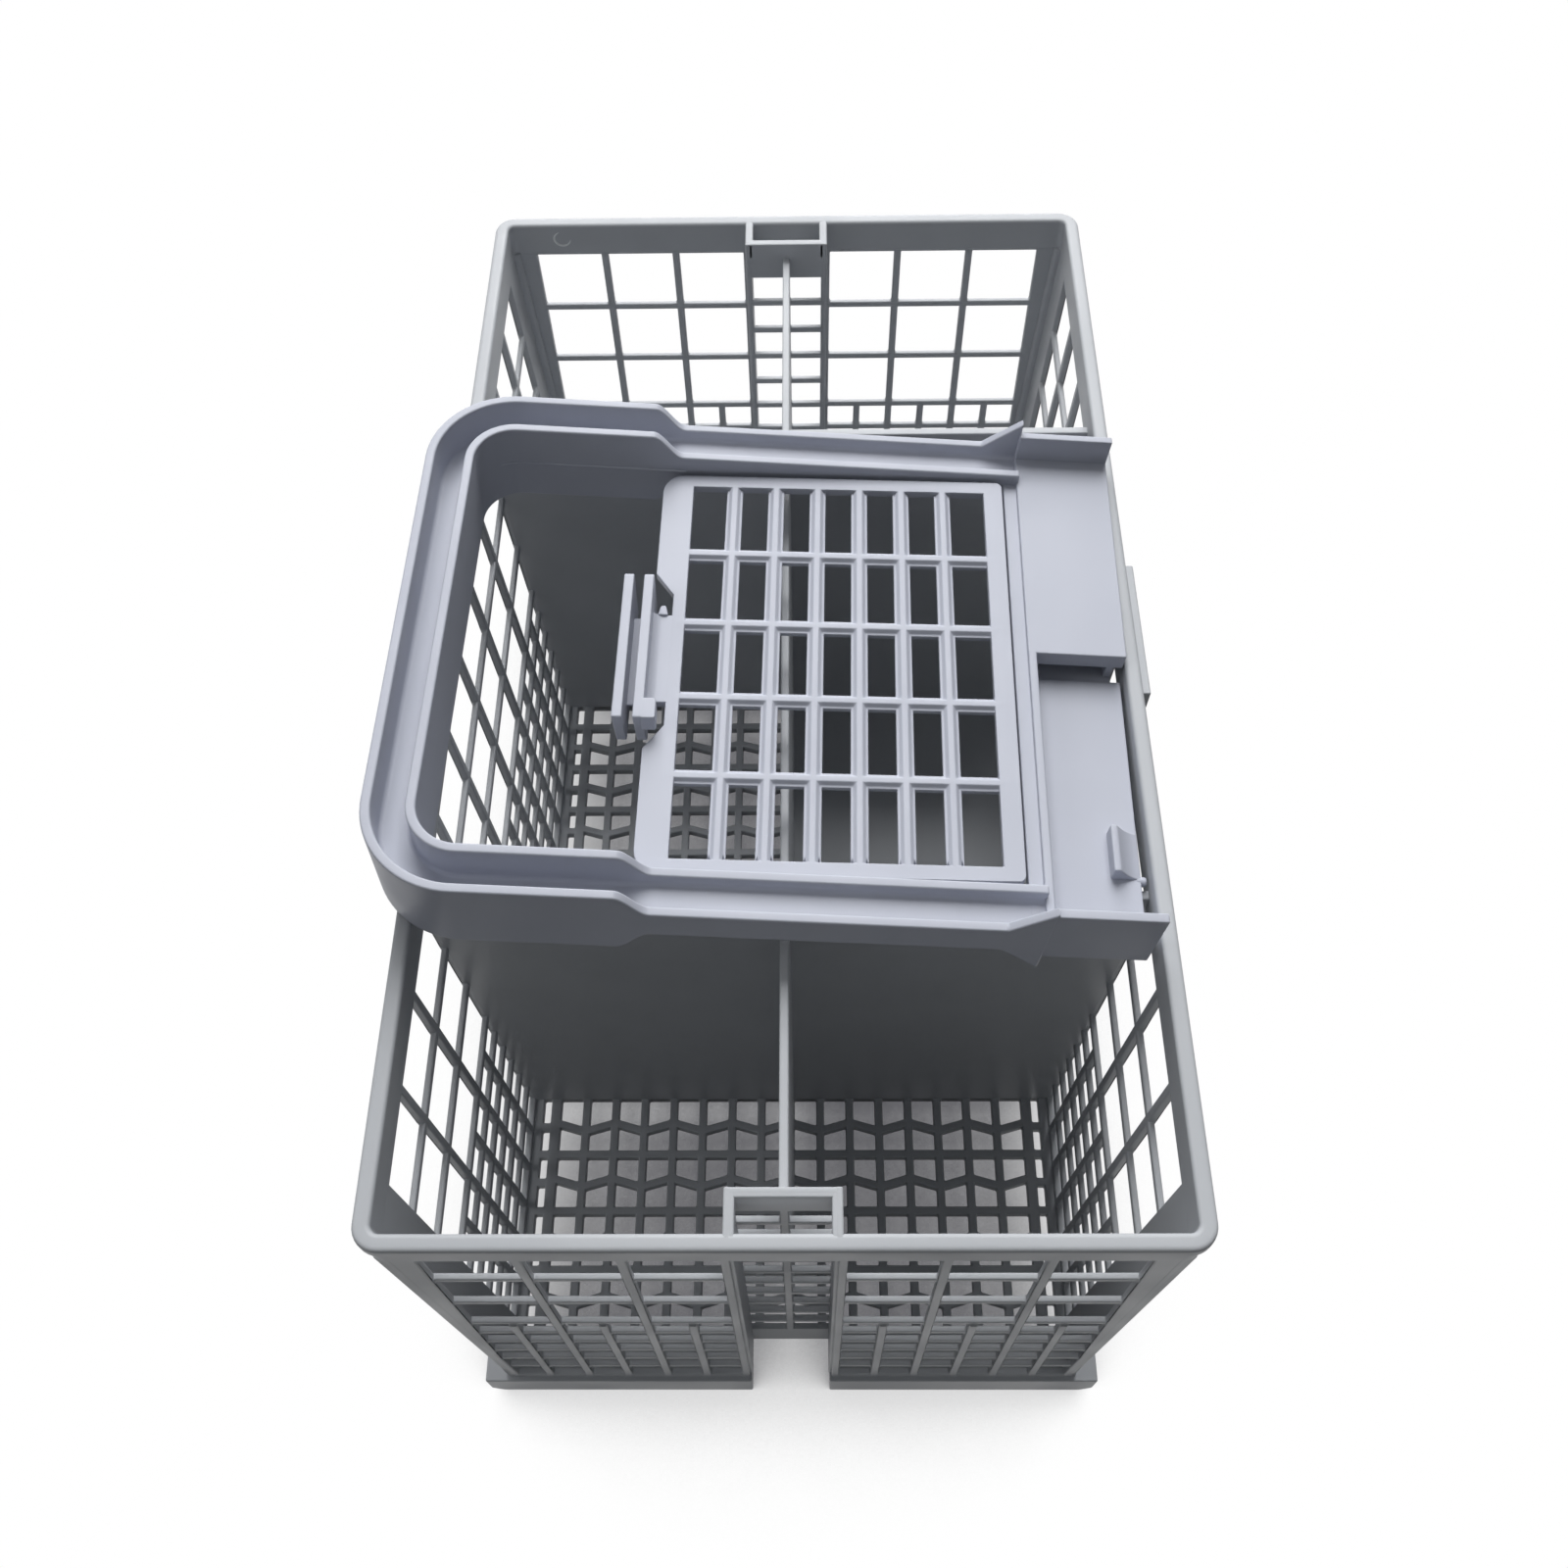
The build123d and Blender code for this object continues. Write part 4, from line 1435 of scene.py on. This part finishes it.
@dataclass(frozen=True)
class Studio:
    """Pale floor, soft lamps and the white surround, in metres."""

    floor_half: float = 3.0
    floor_drop: float = 0.0003
    floor_reach: float = 0.09
    floor_bounce: float = 0.1
    shade_samples: int = 16
    shade_span: tuple[float, float] = (0.1, 0.72)
    shade_colour: tuple[float, float, float] = (0.10, 0.10, 0.11)
    ambient: float = 0.14
    ambient_colour: tuple[float, float, float] = (0.95, 0.98, 1.0)
    lamps: tuple[Lamp, ...] = (
        Lamp("back_high", (0.05, 0.9, 1.3), 1.0, 26.0),
        Lamp("back_low", (0.0, 1.45, 0.68), 0.6, 9.0),
        Lamp("left", (-1.13, 0.0, 1.13), 0.6, 3.0),
    )

    def floor_material(self) -> bpy.types.Material:
        """Build the floor's material.

        Returns:
            White to the camera, shaded by what stands close above it; dull grey to other rays.
        """
        made = bpy.data.materials.new("studio_floor")
        made.use_nodes = True
        nodes, links = made.node_tree.nodes, made.node_tree.links
        nodes.remove(nodes["Principled BSDF"])
        shade = dial(nodes.new("ShaderNodeAmbientOcclusion"), {"Distance": self.floor_reach})
        shade.samples = self.shade_samples
        ramp = nodes.new("ShaderNodeValToRGB")
        dark, pale = ramp.color_ramp.elements
        dark.position, pale.position = self.shade_span
        dark.color, pale.color = (*self.shade_colour, 1.0), (1.0, 1.0, 1.0, 1.0)
        bounce = (self.floor_bounce,) * 3
        glow, mix = nodes.new("ShaderNodeEmission"), nodes.new("ShaderNodeMixShader")
        matt = dial(nodes.new("ShaderNodeBsdfDiffuse"), {"Color": (*bounce, 1.0)})
        links.new(shade.outputs["AO"], ramp.inputs["Fac"])
        links.new(ramp.outputs["Color"], glow.inputs["Color"])
        links.new(self.seen(made.node_tree), mix.inputs["Fac"])
        links.new(matt.outputs["BSDF"], mix.inputs[1])
        links.new(glow.outputs["Emission"], mix.inputs[2])
        links.new(mix.outputs["Shader"], nodes["Material Output"].inputs["Surface"])
        return made

    def floor(self) -> bpy.types.Object:
        """Lay the floor.

        Returns:
            A plane just under the basket's feet.
        """
        h, z = self.floor_half, -self.floor_drop
        mesh = bpy.data.meshes.new("studio_floor")
        mesh.from_pydata([(-h, -h, z), (h, -h, z), (h, h, z), (-h, h, z)], [], [(0, 1, 2, 3)])
        mesh.materials.append(self.floor_material())
        plane = bpy.data.objects.new("studio_floor", mesh)
        bpy.context.scene.collection.objects.link(plane)
        return plane

    @staticmethod
    def seen(tree: bpy.types.NodeTree) -> bpy.types.NodeSocket:
        """Mask of the rays that look at the surround, straight, by reflection or through glass.

        Args:
            tree: the material or world that needs it.

        Returns:
            The socket that gives the mask.
        """
        ray = tree.nodes.new("ShaderNodeLightPath")
        first, second = tree.nodes.new("ShaderNodeMath"), tree.nodes.new("ShaderNodeMath")
        first.operation = second.operation = "MAXIMUM"
        tree.links.new(ray.outputs["Is Camera Ray"], first.inputs[0])
        tree.links.new(ray.outputs["Is Glossy Ray"], first.inputs[1])
        tree.links.new(first.outputs["Value"], second.inputs[0])
        tree.links.new(ray.outputs["Is Transmission Ray"], second.inputs[1])
        return second.outputs["Value"]

    def surround(self) -> None:
        """White world for what the camera sees, a fainter one for the light it gives."""
        world = bpy.data.worlds.new("studio")
        bpy.context.scene.world = world
        world.use_nodes = True
        nodes, links = world.node_tree.nodes, world.node_tree.links
        light = dial(nodes["Background"], {"Color": (*self.ambient_colour, 1.0), "Strength": self.ambient})
        white = dial(nodes.new("ShaderNodeBackground"), {"Color": (1.0, 1.0, 1.0, 1.0)})
        mix = nodes.new("ShaderNodeMixShader")
        links.new(self.seen(world.node_tree), mix.inputs["Fac"])
        links.new(light.outputs["Background"], mix.inputs[1])
        links.new(white.outputs["Background"], mix.inputs[2])
        links.new(mix.outputs["Shader"], nodes["World Output"].inputs["Surface"])

    def build(self) -> None:
        """Set the whole studio."""
        self.floor()
        self.surround()
        for lamp in self.lamps:
            lamp.hang()
        bpy.context.scene.view_settings.view_transform = "Standard"


@dataclass(frozen=True)
class Viewpoint:
    """Camera that took the picture.

    Places and the sensor are in millimetres, angles in degrees, and the focal length and the
    picture's width in pixels.
    """

    at: tuple[float, float, float] = (3.879, -180.156, 364.46)
    yaw: float = -1.565
    pitch: float = 59.175
    roll: float = 1.639
    focal: float = 1574.11
    picture: float = 1600.0
    sensor: float = 36.0
    clip_start: float = 10.0

    def build(self) -> bpy.types.Object:
        """Make the camera.

        Returns:
            The camera, turned by yaw about Z, then down by the pitch, then rolled.
        """
        yaw, pitch, roll = (math.radians(v) for v in (self.yaw, self.pitch, self.roll))
        level = math.cos(pitch)
        ahead = np.array([math.sin(yaw) * level, math.cos(yaw) * level, -math.sin(pitch)])
        right = np.array([math.cos(yaw), -math.sin(yaw), 0.0])
        down = np.cross(ahead, right)
        x = math.cos(roll) * right + math.sin(roll) * down
        y = math.sin(roll) * right - math.cos(roll) * down
        place = np.eye(4)
        place[:3, :3] = np.stack((x, y, -ahead), 1)
        place[:3, 3] = np.array(self.at) * MM
        data = bpy.data.cameras.new("viewpoint")
        data.sensor_width = self.sensor
        data.lens = self.focal / self.picture * self.sensor
        data.clip_start = self.clip_start * MM
        camera = bpy.data.objects.new("viewpoint", data)
        camera.matrix_world = Matrix(place.tolist())
        bpy.context.scene.collection.objects.link(camera)
        bpy.context.scene.camera = camera
        return camera


def main() -> None:
    """Build the basket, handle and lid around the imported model, and the studio round them."""
    logging.basicConfig(level=logging.INFO, format="%(name)s %(message)s")
    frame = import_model()
    joint = frame["joints"][0]
    resting = Resting(np.array(joint["pos_m"]) / MM, np.array(joint["axis"])).matrix()
    basket = PlasticFinish("grey_polypropylene", (0.455, 0.471, 0.495), (0.425, 0.441, 0.465))
    # Handle and lid are the basket's plastic; this lighter, bluer copy is painted light for the cool top
    # light on them.
    top_lit_plastic = PlasticFinish("painted_top_light_grey_polypropylene", (0.463, 0.481, 0.546), (0.433, 0.451, 0.516))
    # Pale colour on the gate scar is a painted highlight, where its raised ring catches the light.
    scar = PlasticFinish("gate_scar_painted_highlight", (0.76, 0.78, 0.78), (0.68, 0.70, 0.70), matt=0.6)
    pieces = Tub(basket, scar).build() + Handle(top_lit_plastic, resting).build() + Lid(top_lit_plastic, resting).build()
    Viewpoint().build()
    Studio().build()
    LOG.info("%d pieces made", len(pieces))


if __name__ == "__main__":
    main()
